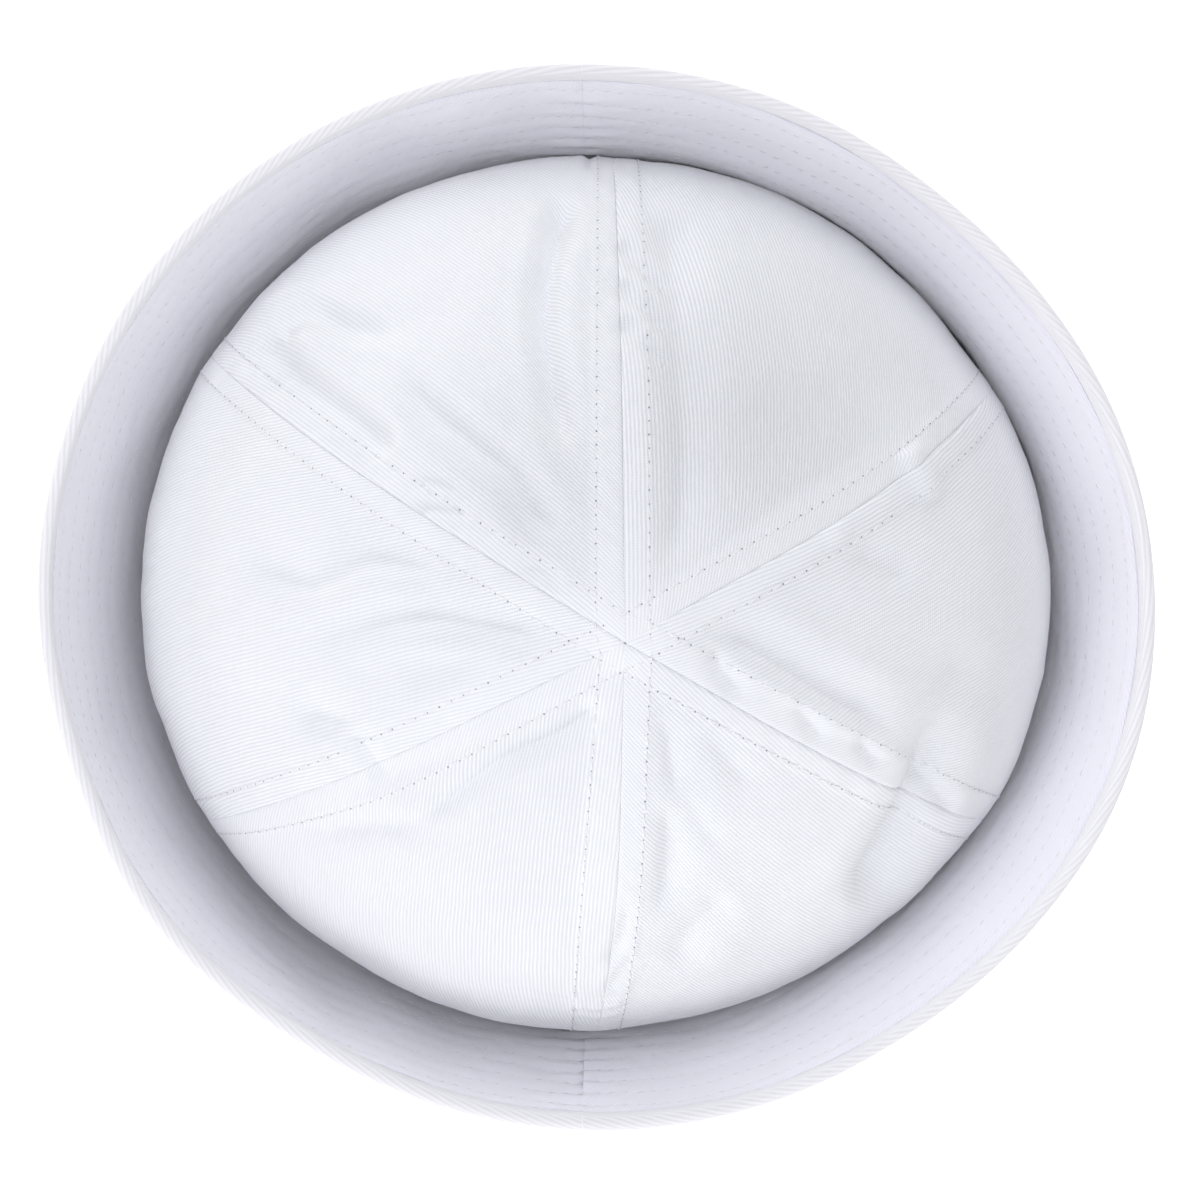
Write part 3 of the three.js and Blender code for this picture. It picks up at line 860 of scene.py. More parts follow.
@dataclass
class CrownForm:
    """The crown's smooth dome with all that presses and lifts it."""

    base_x: float = 93.7
    base_y: float = 90.1
    widest_x: float = 95.6
    widest_y: float = 92.1
    base: float = 1.3
    widest_height: float = 26.0
    top_height: float = 104.0
    top: tuple[float, float] = (5.7, -6.9)
    cone_share: float = 0.07
    tip: float = 0.0022  # share of the dome's reach that the gores' tips leave open
    seam_angles: tuple[float, ...] = (28.5, 87.9, 147.3, 211.0, 270.0, 328.8)
    # pull of each seam's stitching, depth of its crease, and its bow, anticlockwise
    seam_pull: tuple[float, ...] = (0.06, 0.17, 0.13, 0.04, 0.08, 0.17)
    seam_crease: tuple[float, ...] = (0.36, 0.44, 0.40, 0.20, 0.22, 0.44)
    seam_bow: tuple[float, ...] = (-3.4, -0.5, 1.5, 1.8, 1.8, -1.7)
    seam_skew: float = 1.4  # above 1, puts the widest bow beyond the middle of the run
    rows_ahead: tuple[RowPath, ...] = (
        RowPath(5.0, 4.5, -3.3), RowPath(5.9, 3.2, 0.0), RowPath(5.8, 4.0, 1.5),
        RowPath(4.9, 3.0, 4.7), RowPath(5.3, 4.6, 1.6), RowPath(5.9, 5.9, -0.4),
    )
    rows_behind: tuple[RowPath, ...] = (
        RowPath(-5.2, -4.6, -3.8), RowPath(-5.0, -5.1, -0.9), RowPath(-5.0, -4.6, 1.3),
        RowPath(-5.0, -5.0, 1.75), RowPath(-4.8, -5.3, 0.0), RowPath(-5.3, -5.0, -0.9),
    )
    # distance from the top over which each seam's crease is hidden
    seam_clear: tuple[float, ...] = (9.0, 9.0, -5.0, 8.0, 4.0, -5.0)
    # angle in degrees between each gore's middle line and its ribs
    rib_turns: tuple[float, ...] = (28.0, 20.0, 17.0, 23.0, 16.0, 20.0)
    rib_slant: float = 20.1  # of the twill's ribs from its warp, degrees
    band_lift: float = 0.36  # of the cloth between a seam's two rows
    row_width: float = 0.55  # half width of the groove under a row
    row_depth: float = 0.16  # of that groove beside a seam that doesn't pull
    crease_width: float = 0.34  # half width of a seam's crease
    inner_share: float = 0.9  # of the folds' height, on the inner face
    dome_steps: int = 118
    side_steps: int = 24
    girth: ClosedCurve = field(default_factory=crown_girth)
    waves: SoftWaves = SoftWaves(11, 16.0, 46.0, 0.16)
    ripples: SoftWaves = SoftWaves(12, 5.0, 12.0, 0.035)

    def rings(self) -> Rings:
        """Rings from the tip to the lower edge, one value each."""
        dome = np.linspace(math.asin(self.tip), math.pi / 2, self.dome_steps + 1)
        side = np.linspace(self.widest_height, self.base, self.side_steps + 1)[1:]
        return self.rings_at(dome, side)

    def rings_at(self, dome: Array, side: Array) -> Rings:
        """Rings of the dome at turns from the top, then rings of the side at heights.

        Args:
            dome: turns of the dome's rings, in radians.
            side: heights of the side's rings.

        Returns:
            The rings, one value each.
        """
        reach = np.sin(dome)
        full = (1 - self.cone_share) * np.cos(dome) + self.cone_share * (1 - reach)
        rise = self.widest_height + (self.top_height - self.widest_height) * full
        bulge = np.sin(math.pi / 2 * self.side_share(side))
        return Rings(
            np.concatenate([dome, np.full(len(side), math.pi / 2)]),
            np.concatenate([rise, side]),
            np.concatenate([np.ones(len(dome)), bulge]),
        )

    def side_share(self, height: Array) -> Array:
        """Share of the way from the lower edge up to the widest ring."""
        return (height - self.base) / (self.widest_height - self.base)

    def place(self, rings: Rings, angle: Array) -> Pair:
        """Points of the smooth crown and their outward directions.

        Args:
            rings: the rings' values, shaped to go with the angles.
            angle: angles round the widest ring, in radians.

        Returns:
            Points in millimetres, and directions of length 1.
        """
        reach = np.sin(rings.turn)
        girth = self.girth.at(np.degrees(angle)) * reach**2
        half_x = self.base_x + (self.widest_x + girth - self.base_x) * rings.bulge
        half_y = self.base_y + (self.widest_y + girth - self.base_y) * rings.bulge
        cos, sin = np.cos(angle), np.sin(angle)
        x = self.top[0] * (1 - reach) + reach * half_x * cos
        y = self.top[1] * (1 - reach) + reach * half_y * sin
        points = np.stack([x, y, rings.height + 0.0 * x], axis=-1)
        rise = self.top_height - self.widest_height
        fall = -rise * ((1 - self.cone_share) * reach + self.cone_share * np.cos(rings.turn))
        on_side = rings.height < self.widest_height - 1e-6
        lean = np.cos(rings.turn)
        down_x = np.where(on_side, -self._flare(rings, self.widest_x - self.base_x) * cos,
                          (half_x * cos - self.top[0]) * lean)
        down_y = np.where(on_side, -self._flare(rings, self.widest_y - self.base_y) * sin,
                          (half_y * sin - self.top[1]) * lean)
        down_z = np.where(on_side, -1.0, fall) + 0.0 * x
        down = np.stack([down_x, down_y, down_z], axis=-1)
        round_ = np.stack([-half_x * sin, half_y * cos, 0.0 * x], axis=-1)
        return points, unit(np.cross(down, round_))

    def _flare(self, rings: Rings, span: float) -> Array:
        """How fast the side widens with height."""
        slope = np.cos(math.pi / 2 * self.side_share(rings.height)) * math.pi / 2
        return span * slope / (self.widest_height - self.base)

    def _seam_line(self, seam: int) -> Array:
        """A seam's straight line in plan, from the top to the widest ring."""
        turn = math.radians(self.seam_angles[seam])
        end = np.array([self.widest_x * math.cos(turn), self.widest_y * math.sin(turn)])
        return end - np.array(self.top)

    def seam_length(self, seam: int) -> float:
        """Length of a seam in plan, from the top to the widest ring."""
        return math.hypot(*self._seam_line(seam))

    def seam_frame(self, seam: int) -> Pair:
        """Direction of a seam in plan, and the direction square to it, anticlockwise."""
        along = unit(self._seam_line(seam))
        return along, np.array([-along[1], along[0]])

    def from_seam(self, seam: int, x: Array, y: Array) -> Pair:
        """Distances of places in plan along a seam's straight line, and square to it.

        Args:
            seam: the seam's number.
            x: in mm.
            y: in mm.

        Returns:
            Distance from the top along the line, and distance from it, anticlockwise.
        """
        along, across = self.seam_frame(seam)
        dx, dy = x - self.top[0], y - self.top[1]
        return dx * along[0] + dy * along[1], dx * across[0] + dy * across[1]

    def seam_shown(self, seam: int, run: Array) -> Array:
        """How far a seam shows at distances from the top, from 0 where it is hidden to 1."""
        return smooth_step(0.0, 6.0, run - self.seam_clear[seam])

    def edge_angle(self, seam: int, turn: Array) -> Array:
        """Angle round the widest ring at which a bowed seam crosses each ring.

        Args:
            seam: the seam's number.
            turn: the rings' turns from the top.

        Returns:
            The angles in radians.
        """
        _, across = self.seam_frame(seam)
        angle = math.radians(self.seam_angles[seam])
        pull = self.widest_y * math.cos(angle) * across[1]
        pull = pull - self.widest_x * math.sin(angle) * across[0]
        reach = np.sin(turn)
        return angle + self.seam_bow[seam] * self.swing(reach) / (reach * pull)

    def swing(self, share: Array) -> Array:
        """How far a bowed line has swung out at shares of its length, 1 at its widest."""
        return np.sin(math.pi * np.clip(share, 0.0, 1.0) ** self.seam_skew)

    def folds(self, x: Array, y: Array) -> Array:
        """Height that folds, dents and gentle waves add, in millimetres."""
        total = self.waves.at(x, y)
        for fold in FOLDS:
            total = total + fold.height(x, y)
        return total

    def inner_folds(self, x: Array, y: Array) -> Array:
        """Height that the folds add on the inner face, a little softer than outside."""
        return self.folds(x, y) * self.inner_share

    def _pucker(self, seam: int, run: Array, side: Array) -> Array:
        """Ripples that the pull of a seam's stitching raises, as two crossing waves."""
        wave = np.sin(math.tau * (run / 5.6 - side / 9.0) + seam)
        wave = wave + 0.6 * np.sin(math.tau * (run / 8.3 + side / 14.0) + 2 * seam)
        return wave * smooth_step(8.0, 26.0, run)

    def seams(self, x: Array, y: Array) -> Array:
        """Height that the raised bands, stitch rows and creases of the seams add.

        Args:
            x: in mm.
            y: in mm.

        Returns:
            Heights in mm.
        """
        band = np.zeros_like(x)
        press = np.zeros_like(x)
        for seam, pull in enumerate(self.seam_pull):
            run, side = self.from_seam(seam, x, y)
            started = smooth_step(-0.6, 0.6, run)
            part = run / self.seam_length(seam)
            swing = self.swing(part)
            ahead = side - self.rows_ahead[seam].offset(part, swing)
            behind = side - self.rows_behind[seam].offset(part, swing)
            near = np.minimum(np.abs(ahead), np.abs(behind))
            inside = smooth_step(1.3, 0.2, np.maximum(ahead, -behind)) * started
            pucker = self._pucker(seam, run, side) * bell(near - 2.4, 2.0)
            band = np.maximum(band, inside * (self.band_lift + pull * pucker))
            row = bell(near, self.row_width) * (self.row_depth + 0.5 * pull)
            line = side - self.seam_bow[seam] * swing
            crease = bell(line, self.crease_width) * self.seam_crease[seam]
            crease = crease * self.seam_shown(seam, run)
            press = np.maximum(press, np.maximum(row, crease) * started)
        return band - press

    def ribs(self, x: Array, y: Array) -> Array:
        """How strongly the cloth's ribs stand at places in plan.

        Args:
            x: in mm.
            y: in mm.

        Returns:
            Their strength, 1 as usual.
        """
        strength = np.ones_like(x)
        for patch in PRESSED_PATCHES:
            strength = strength + patch.share(x, y)
        for seam in range(len(self.seam_angles)):
            run, side = self.from_seam(seam, x, y)
            pressed = smooth_step(7.0, 4.5, np.abs(side)) * smooth_step(-2.0, 2.0, run)
            strength = strength * (1.0 - 0.35 * pressed * smooth_step(80.0, 50.0, run))
        return strength

    def height(self, x: Array, y: Array) -> Array:
        """All that lifts the outer face from the smooth dome, in millimetres."""
        reach = np.hypot(x / self.widest_x, y / self.widest_y)
        calm = 1.0 - 0.80 * smooth_step(0.88, 1.0, reach)
        return self.folds(x, y) + self.seams(x, y) * calm + self.ripples.at(x, y)


@dataclass
class CrownGore:
    """One gore of the crown, closed at its tip and its edges."""

    form: CrownForm
    index: int
    ply: float = 1.1
    allowance: float = 0.6  # extra thickness where the seam allowance lies inside
    allowance_width: float = 5.2
    clearance: float = 0.022  # from the seam line to the gore's edge
    edge_steps: tuple[float, ...] = (
        0.0, 0.22, 0.5, 0.9, 1.5, 2.2, 3.0, 3.8, 4.4, 4.75, 5.0, 5.25, 5.6, 6.1, 6.8,
    )
    middle_steps: int = 68
    edge_share: float = 0.30  # of the gore's width, the most that its edge columns take

    @property
    def next_seam(self) -> int:
        """Number of the seam at the gore's far side."""
        return (self.index + 1) % len(self.form.seam_angles)

    def span(self, turn: Array) -> Pair:
        """Angles of the gore's two bowed seams at each ring, in radians."""
        start = self.form.edge_angle(self.index, turn)
        end = self.form.edge_angle(self.next_seam, turn)
        angles = self.form.seam_angles
        past = angles[self.next_seam] < angles[self.index]
        return start, end + (math.tau if past else 0.0)

    def _insets(self, turn: Array, chord: Array) -> Pair:
        """Clearances beside the two seams, wider where a seam shows.

        Args:
            turn: the rings' turns from the top.
            chord: the gore's width at each ring.

        Returns:
            Each seam's clearances as shares of the width.
        """
        shares = []
        for seam in (self.index, self.next_seam):
            run = np.sin(turn) * self.form.seam_length(seam)
            shown = self.form.seam_shown(seam, run)
            clearance = self.clearance * (0.15 + 0.85 * shown)
            shares.append(np.minimum(clearance / chord, 0.2))
        return shares[0], shares[1]

    def shares(self, width: Array) -> Array:
        """Places of the grid's columns across its rows, closer near the seams.

        Args:
            width: the rows' widths.

        Returns:
            Shares of the width from 0 to 1, as rows by columns.
        """
        scale = np.minimum(1.0 / width, self.edge_share / self.edge_steps[-1])
        edge = np.array(self.edge_steps)[None, :] * scale[:, None]
        band = edge[:, -1:]
        middle = np.linspace(0.0, 1.0, self.middle_steps + 1)[None, 1:-1]
        inner = band + (1 - 2 * band) * middle
        return np.concatenate([edge, inner, 1 - edge[:, ::-1]], axis=1)

    def grid(self) -> ClothGrid:
        """Works out the gore's two faces and its flat cut.

        Returns:
            The cloth.
        """
        rings = self.form.rings()
        start, end = self.span(rings.turn)
        column = Rings(rings.turn[:, None], rings.height[:, None], rings.bulge[:, None])
        first, _ = self.form.place(column, start[:, None])
        last, _ = self.form.place(column, end[:, None])
        chord = np.maximum(np.linalg.norm(first - last, axis=-1)[:, 0], 0.02)
        share = self.shares(chord)
        before, after = self._insets(rings.turn, chord)
        taken = before[:, None] + share * (1 - before - after)[:, None]
        angle = start[:, None] + (end - start)[:, None] * taken
        points, out = self.form.place(column, angle)
        x, y = points[..., 0], points[..., 1]
        face = points + out * self.form.height(x, y)[..., None]
        from_edge = np.minimum(share, 1 - share) * chord[:, None]
        thick = self.ply + self.allowance * smooth_step(
            self.allowance_width + 0.5, self.allowance_width - 0.1, from_edge
        )
        hollow = self.form.inner_folds(x, y)
        back = points + out * (hollow - thick)[..., None]
        flat = self._flat(points)
        lean = math.radians(self.form.rib_turns[self.index] - self.form.rib_slant)
        cos, sin = math.cos(lean), math.sin(lean)
        across, down = flat[..., 0], flat[..., 1]
        weave = np.stack([across * cos - down * sin, down * cos + across * sin], axis=-1)
        return ClothGrid(face, back, flat, weave, self.form.ribs(x, y))

    def _flat(self, points: Array) -> Array:
        """Flat cut: run across each row from the gore's middle, and run down the middle."""
        across = run_lengths(points, 1)
        centre = points.shape[1] // 2
        across = across - across[:, centre : centre + 1]
        down = run_lengths(points, 0)[:, centre : centre + 1]
        return np.stack([across, down + 0.0 * across], axis=-1)


# -------------------- brim form


@dataclass(frozen=True)
class BrimSection:
    """The brim's section at one angle."""

    angle: float
    rim_offset: float  # of the rim from its ellipse
    waist_out: float  # of the waist from the fold
    edge_inset: float  # width of the rolled edge
    groove: float  # how strongly the edge line shows


BRIM_SECTIONS = (
    BrimSection(0, 0.0, 6.6, 3.6, 1.0),
    BrimSection(20, -1.1, 3.3, 3.8, 1.0),
    BrimSection(36, -2.4, 1.4, 4.0, 1.1),
    BrimSection(50, -2.8, 1.5, 4.0, 1.1),
    BrimSection(65, -1.5, 2.5, 3.6, 1.0),
    BrimSection(90, 0.0, 4.2, 3.3, 0.5),
    BrimSection(104, 0.8, 5.9, 3.3, 0.4),
    BrimSection(122, 1.4, 8.0, 3.5, 0.35),
    BrimSection(144, 0.9, 9.4, 3.3, 0.35),
    BrimSection(162, 0.1, 10.2, 3.0, 0.4),
    BrimSection(180, 0.0, 11.0, 3.0, 0.4),
    BrimSection(198, -1.0, 10.6, 3.0, 0.4),
    BrimSection(215, 0.0, 10.2, 3.1, 0.35),
    BrimSection(238, -1.2, 9.0, 3.4, 0.4),
    BrimSection(254, -0.6, 8.4, 3.6, 0.4),
    BrimSection(270, 0.0, 8.0, 3.8, 0.5),
    BrimSection(288, -0.3, 6.6, 3.6, 0.9),
    BrimSection(306, -1.0, 4.6, 3.4, 1.1),
    BrimSection(322, -0.2, 4.7, 3.6, 1.1),
    BrimSection(340, 0.9, 6.6, 4.0, 1.0),
)


ROLL_RIB_TURNS = {
    0: -4, 20: 6, 40: 12, 60: 15, 75: 11, 90: 4, 105: 10, 120: 15, 140: 14, 160: 11,
    175: 2, 190: -5, 210: -9, 225: -10, 245: -8, 262: -12, 280: -14, 300: -15, 320: -13,
    340: -8,
}  # angle round the hat, and degrees by which the outer ply's ribs turn inwards from the rim
BRIM_SEAMS = (91.5, 268.5)  # angles round the hat in degrees


def section_curve(column: str) -> ClosedCurve:
    """A smooth closed curve through one column of the brim's sections."""
    angles = [float(row.angle) for row in BRIM_SECTIONS]
    return ClosedCurve(angles, [float(getattr(row, column)) for row in BRIM_SECTIONS])


@dataclass
class BrimForm:
    """The turned-up brim: its inner face, its rows of stitching and its rolled edge."""

    fold_x: float = 94.0
    fold_y: float = 90.4
    rim_x: float = 115.0
    rim_y: float = 109.7
    slant: float = 61.0
    waist_height: float = 30.0
    facing_base: float = 1.9
    clear_span: float = 2.0  # that the crown's widest ring needs outside the fold
    ply: float = 1.0
    gap: float = 0.3  # between the two plies
    first_row: float = 3.0  # distance of the first row of stitching below the edge
    row_pitch: float = 6.35
    row_count: int = 9
    seams: tuple[float, float] = BRIM_SEAMS
    mean_radius: float = 104.0  # turns angles round the brim into lengths
    outer_shift: float = 57.0  # sets the outer ply's unevenness apart from the facing's
    past_base: float = 80.0  # a depth below the facing's edge that lies past its base
    crown_base: float = CrownForm.base
    crown_widest: float = CrownForm.widest_height
    cone: float = 0.34  # turn of the flat cut for each turn round the hat
    edge_radius: float = 329.0  # of the flat cut at the rim
    edge_arc: float = 112.0  # length of the rim for each radian
    rim_offset: ClosedCurve = field(default_factory=lambda: section_curve("rim_offset"))
    waist_out: ClosedCurve = field(default_factory=lambda: section_curve("waist_out"))
    edge_inset: ClosedCurve = field(default_factory=lambda: section_curve("edge_inset"))
    groove: ClosedCurve = field(default_factory=lambda: section_curve("groove"))
    girth: ClosedCurve = field(default_factory=crown_girth)
    waves: SoftWaves = SoftWaves(21, 22.0, 60.0, 0.30)
    mottle: SoftWaves = SoftWaves(22, 4.0, 11.0, 0.05)
    wrinkles: SoftWaves = SoftWaves(23, 1.4, 3.2, 0.07)
    puff: float = 0.09  # height of the cloth between two rows

    def rows(self) -> Array:
        """Distances of the stitch rows below the facing's edge, in millimetres."""
        return self.first_row + self.row_pitch * np.arange(self.row_count)

    def ring(self, angle: Array, out: Array, height: Array) -> Array:
        """Points at distances outside the fold, at angles in degrees and at heights."""
        turn = np.radians(angle)
        x = (self.fold_x + out) * np.cos(turn)
        y = (self.fold_y + out) * np.sin(turn)
        return np.stack(np.broadcast_arrays(x, y, height), axis=-1)

    def face_line(self, angle: Array, depth: Array) -> Pair:
        """The facing's inner face in section.

        Args:
            angle: angles in degrees, one for each column.
            depth: distances down the cloth from the facing's edge, one for each row.

        Returns:
            Distance outside the fold, and height, each as rows by columns.
        """
        turn = np.radians(angle)
        rim = (self.rim_x - self.fold_x) * np.cos(turn) ** 2
        rim = rim + (self.rim_y - self.fold_y) * np.sin(turn) ** 2
        edge_out = rim + self.rim_offset.at(angle) - self.edge_inset.at(angle)
        edge_height = np.sqrt(self.slant**2 - edge_out**2)
        waist = self.waist_out.at(angle) / self.waist_height
        bend = (edge_out / edge_height - waist) / (edge_height - self.waist_height)
        lean = waist - bend * self.waist_height
        share = np.linspace(0.0, 1.0, 241)[:, None]
        height = edge_height + (self.facing_base - edge_height) * share
        free = lean * height + bend * height**2
        bulge = (height - self.crown_base) / (self.crown_widest - self.crown_base)
        span = self.clear_span + self.girth.at(angle)
        out = np.maximum(free, span * np.sin(np.clip(bulge, 0.0, 1.0) * math.pi / 2))
        steps = np.hypot(np.diff(out, axis=0), np.diff(height, axis=0))
        run = np.concatenate([np.zeros((1, len(angle))), np.cumsum(steps, axis=0)])
        length = run[-1]
        result_out = np.empty((len(depth), len(angle)))
        result_height = np.empty_like(result_out)
        for i in range(len(angle)):
            wanted = np.minimum(depth, length[i])
            result_out[:, i] = np.interp(wanted, run[:, i], out[:, i])
            result_height[:, i] = np.interp(wanted, run[:, i], height[:, i])
        return result_out, result_height

    def length_below_edge(self, angle: Array) -> Array:
        """Length of the facing's face from its edge down to its base."""
        out, height = self.face_line(angle, np.linspace(0.0, self.past_base, 161))
        return np.hypot(np.diff(out, axis=0), np.diff(height, axis=0)).sum(axis=0)

    def quilt(self, angle: Array, depth: Array, shift: float = 0.0) -> Array:
        """Relief that the stitch rows and the side seams give a ply.

        Args:
            angle: angle of each point in degrees.
            depth: distance of each point below the facing's edge.
            shift: shift along the brim that sets one ply's unevenness apart from another's.

        Returns:
            Height in millimetres, above zero towards the viewer of that ply.
        """
        run = np.radians(angle) * self.mean_radius + shift
        phase = (depth - self.first_row) / self.row_pitch
        inside = smooth_step(self.first_row - 1.2, self.first_row, depth)
        puff = 0.5 - 0.5 * np.cos(math.tau * phase)
        relief = self.puff * puff * inside
        near = np.full_like(depth, 99.0)
        for row in self.rows():
            near = np.minimum(near, np.abs(depth - row))
        relief = relief - 0.05 * bell(near, 0.45)
        pull = np.sin(run / 1.1 + depth / 1.9) + np.sin(run / 0.83 - depth / 2.7)
        pull = pull + np.sin(run / 1.9 - depth / 1.3)
        relief = relief + 0.020 * pull * bell(near, 2.4)
        relief = relief + self.mottle.at(run, depth) + self.waves.at(run, depth * 0.7)
        for seam in self.seams:
            apart = np.mod(angle - seam + 180.0, 360.0) - 180.0
            beside = apart * math.radians(1.0) * self.mean_radius
            lens = bell(beside, 5.5) * puff**1.5 * inside
            relief = relief + 0.34 * lens - 0.24 * bell(beside, 6.0) * bell(near, 0.8)
            wrinkle = self.wrinkles.at(run * 0.17, depth)
            relief = relief + wrinkle * bell(beside, 9.0) - 0.06 * bell(beside, 0.5)
        return relief

    def flat(self, angle: Array, depth: Array, middle: float) -> Array:
        """Places on the flat cut, an arch that opens the brim's cone.

        Args:
            angle: angles in degrees.
            depth: distances below the facing's edge, less than zero over the roll.
            middle: angle at the middle of the piece.

        Returns:
            Across the warp and along the warp, in millimetres.
        """
        turn = np.radians(angle - middle) * self.cone
        radius = self.edge_radius - depth
        return np.stack([-radius * np.cos(turn), radius * np.sin(turn)], axis=-1)

    def along_rim(self, angle: Array, run: Array, finish: TwillFinish) -> Array:
        """Places on the outer ply's cloth, which is cut with its ribs nearly along the rim.

        Args:
            angle: angles in degrees.
            run: distances from the lip over the roll and down the outer wall.
            finish: the twill, whose ribs slant from its warp.

        Returns:
            Across the warp and along the warp, in millimetres.
        """
        slopes = [math.tan(math.radians(turn)) for turn in ROLL_RIB_TURNS.values()]
        turns = ClosedCurve(list(ROLL_RIB_TURNS), slopes)
        line = np.linspace(-100.0, 280.0, 1521)
        drift = np.cumsum(turns.at(line)) * math.radians(line[1] - line[0]) * self.edge_arc
        length = np.radians(angle) * self.edge_arc
        inwards = -run - np.interp(angle, line, drift)
        slant = math.atan(finish.warp / finish.pick)
        cos, sin = math.cos(slant), math.sin(slant)
        return np.stack([length * sin + inwards * cos, length * cos - inwards * sin], axis=-1)

    def levels(self) -> Array:
        """Distances below the edge at which the grids have rows, closer at the stitching."""
        near = (-1.1, -0.5, 0.0, 0.5, 1.1, 2.2, 3.2, 4.2)
        levels = [0.0, 0.35, 0.8, 1.4]
        for row in self.rows():
            levels += [float(row) + step for step in near]
        return np.array(levels)

    def columns(self, half: "BrimHalf", steps: int, clearance: float) -> Array:
        """Angles of a half's columns, closer beside its two seams.

        Args:
            half: the half.
            steps: number of steps between the close ones.
            clearance: from each seam to the cloth's end.

        Returns:
            The angles in degrees.
        """
        edge = np.array([0.0, 0.3, 0.7, 1.2, 1.8, 2.5, 3.3, 4.2, 5.2])
        edge = np.degrees(edge / self.mean_radius)
        start = half.start + math.degrees(clearance / self.fold_y)
        end = half.end - math.degrees(clearance / self.fold_y)
        middle = np.linspace(start + edge[-1], end - edge[-1], steps + 1)[1:-1]
        return np.concatenate([start + edge, middle, end - edge[::-1]])


@dataclass(frozen=True)
class BrimHalf:
    """One half of the brim, between its two seams."""

    name: str
    start: float
    end: float

    @property
    def middle(self) -> float:
        """Angle half way between the seams."""
        return (self.start + self.end) / 2


def grid_normals(points: Array) -> Array:
    """Directions square to a grid of points, from its own steps."""
    return unit(np.cross(np.gradient(points, axis=0), np.gradient(points, axis=1)))


@dataclass
class BrimFacing:
    """Inner ply of half the brim, the one that looks at the crown."""

    form: BrimForm
    half: BrimHalf
    steps: int = 252
    clearance: float = 0.012
    groove_width: float = 0.75  # half width of the groove under the roll's lip
    groove_depth: float = 0.55

    def grid(self) -> ClothGrid:
        """Works out the facing's two faces and its flat cut.

        Returns:
            The cloth.
        """
        form = self.form
        angle = form.columns(self.half, self.steps, self.clearance)
        base = form.length_below_edge(angle)
        levels = form.levels()
        levels = levels[levels < base.min() - 0.6]
        tail = np.linspace(0.0, 1.0, 4)[1:, None]
        out, height = form.face_line(angle, np.append(levels, form.past_base))
        last = levels[-1] + (base[None, :] - levels[-1]) * tail
        depth = np.concatenate([levels[:, None] + 0.0 * base[None, :], last])
        tail_out = out[-2] + (out[-1] - out[-2]) * tail
        tail_height = height[-2] + (height[-1] - height[-2]) * tail
        out = np.concatenate([out[:-1], tail_out])
        height = np.concatenate([height[:-1], tail_height])
        points = form.ring(angle[None, :], out, height)
        inward = grid_normals(points)
        if inward[len(inward) // 2, 0] @ points[len(inward) // 2, 0] > 0:
            inward = -inward
        turned = angle[None, :] + 0.0 * depth
        relief = form.quilt(turned, depth)
        ends = smooth_step(0.0, 4.0, base[None, :] - depth)
        groove = bell(depth, self.groove_width) * self.groove_depth
        roll_in = form.groove.at(angle)[None, :] * groove
        face = points + inward * (relief * ends - roll_in)[..., None]
        face[0] += np.array([0.0, 0.0, 0.1])
        back = points - inward * (form.ply - 0.1)
        flat = form.flat(turned, depth, self.half.middle)
        return ClothGrid(face, back, flat, flat, np.ones_like(depth))


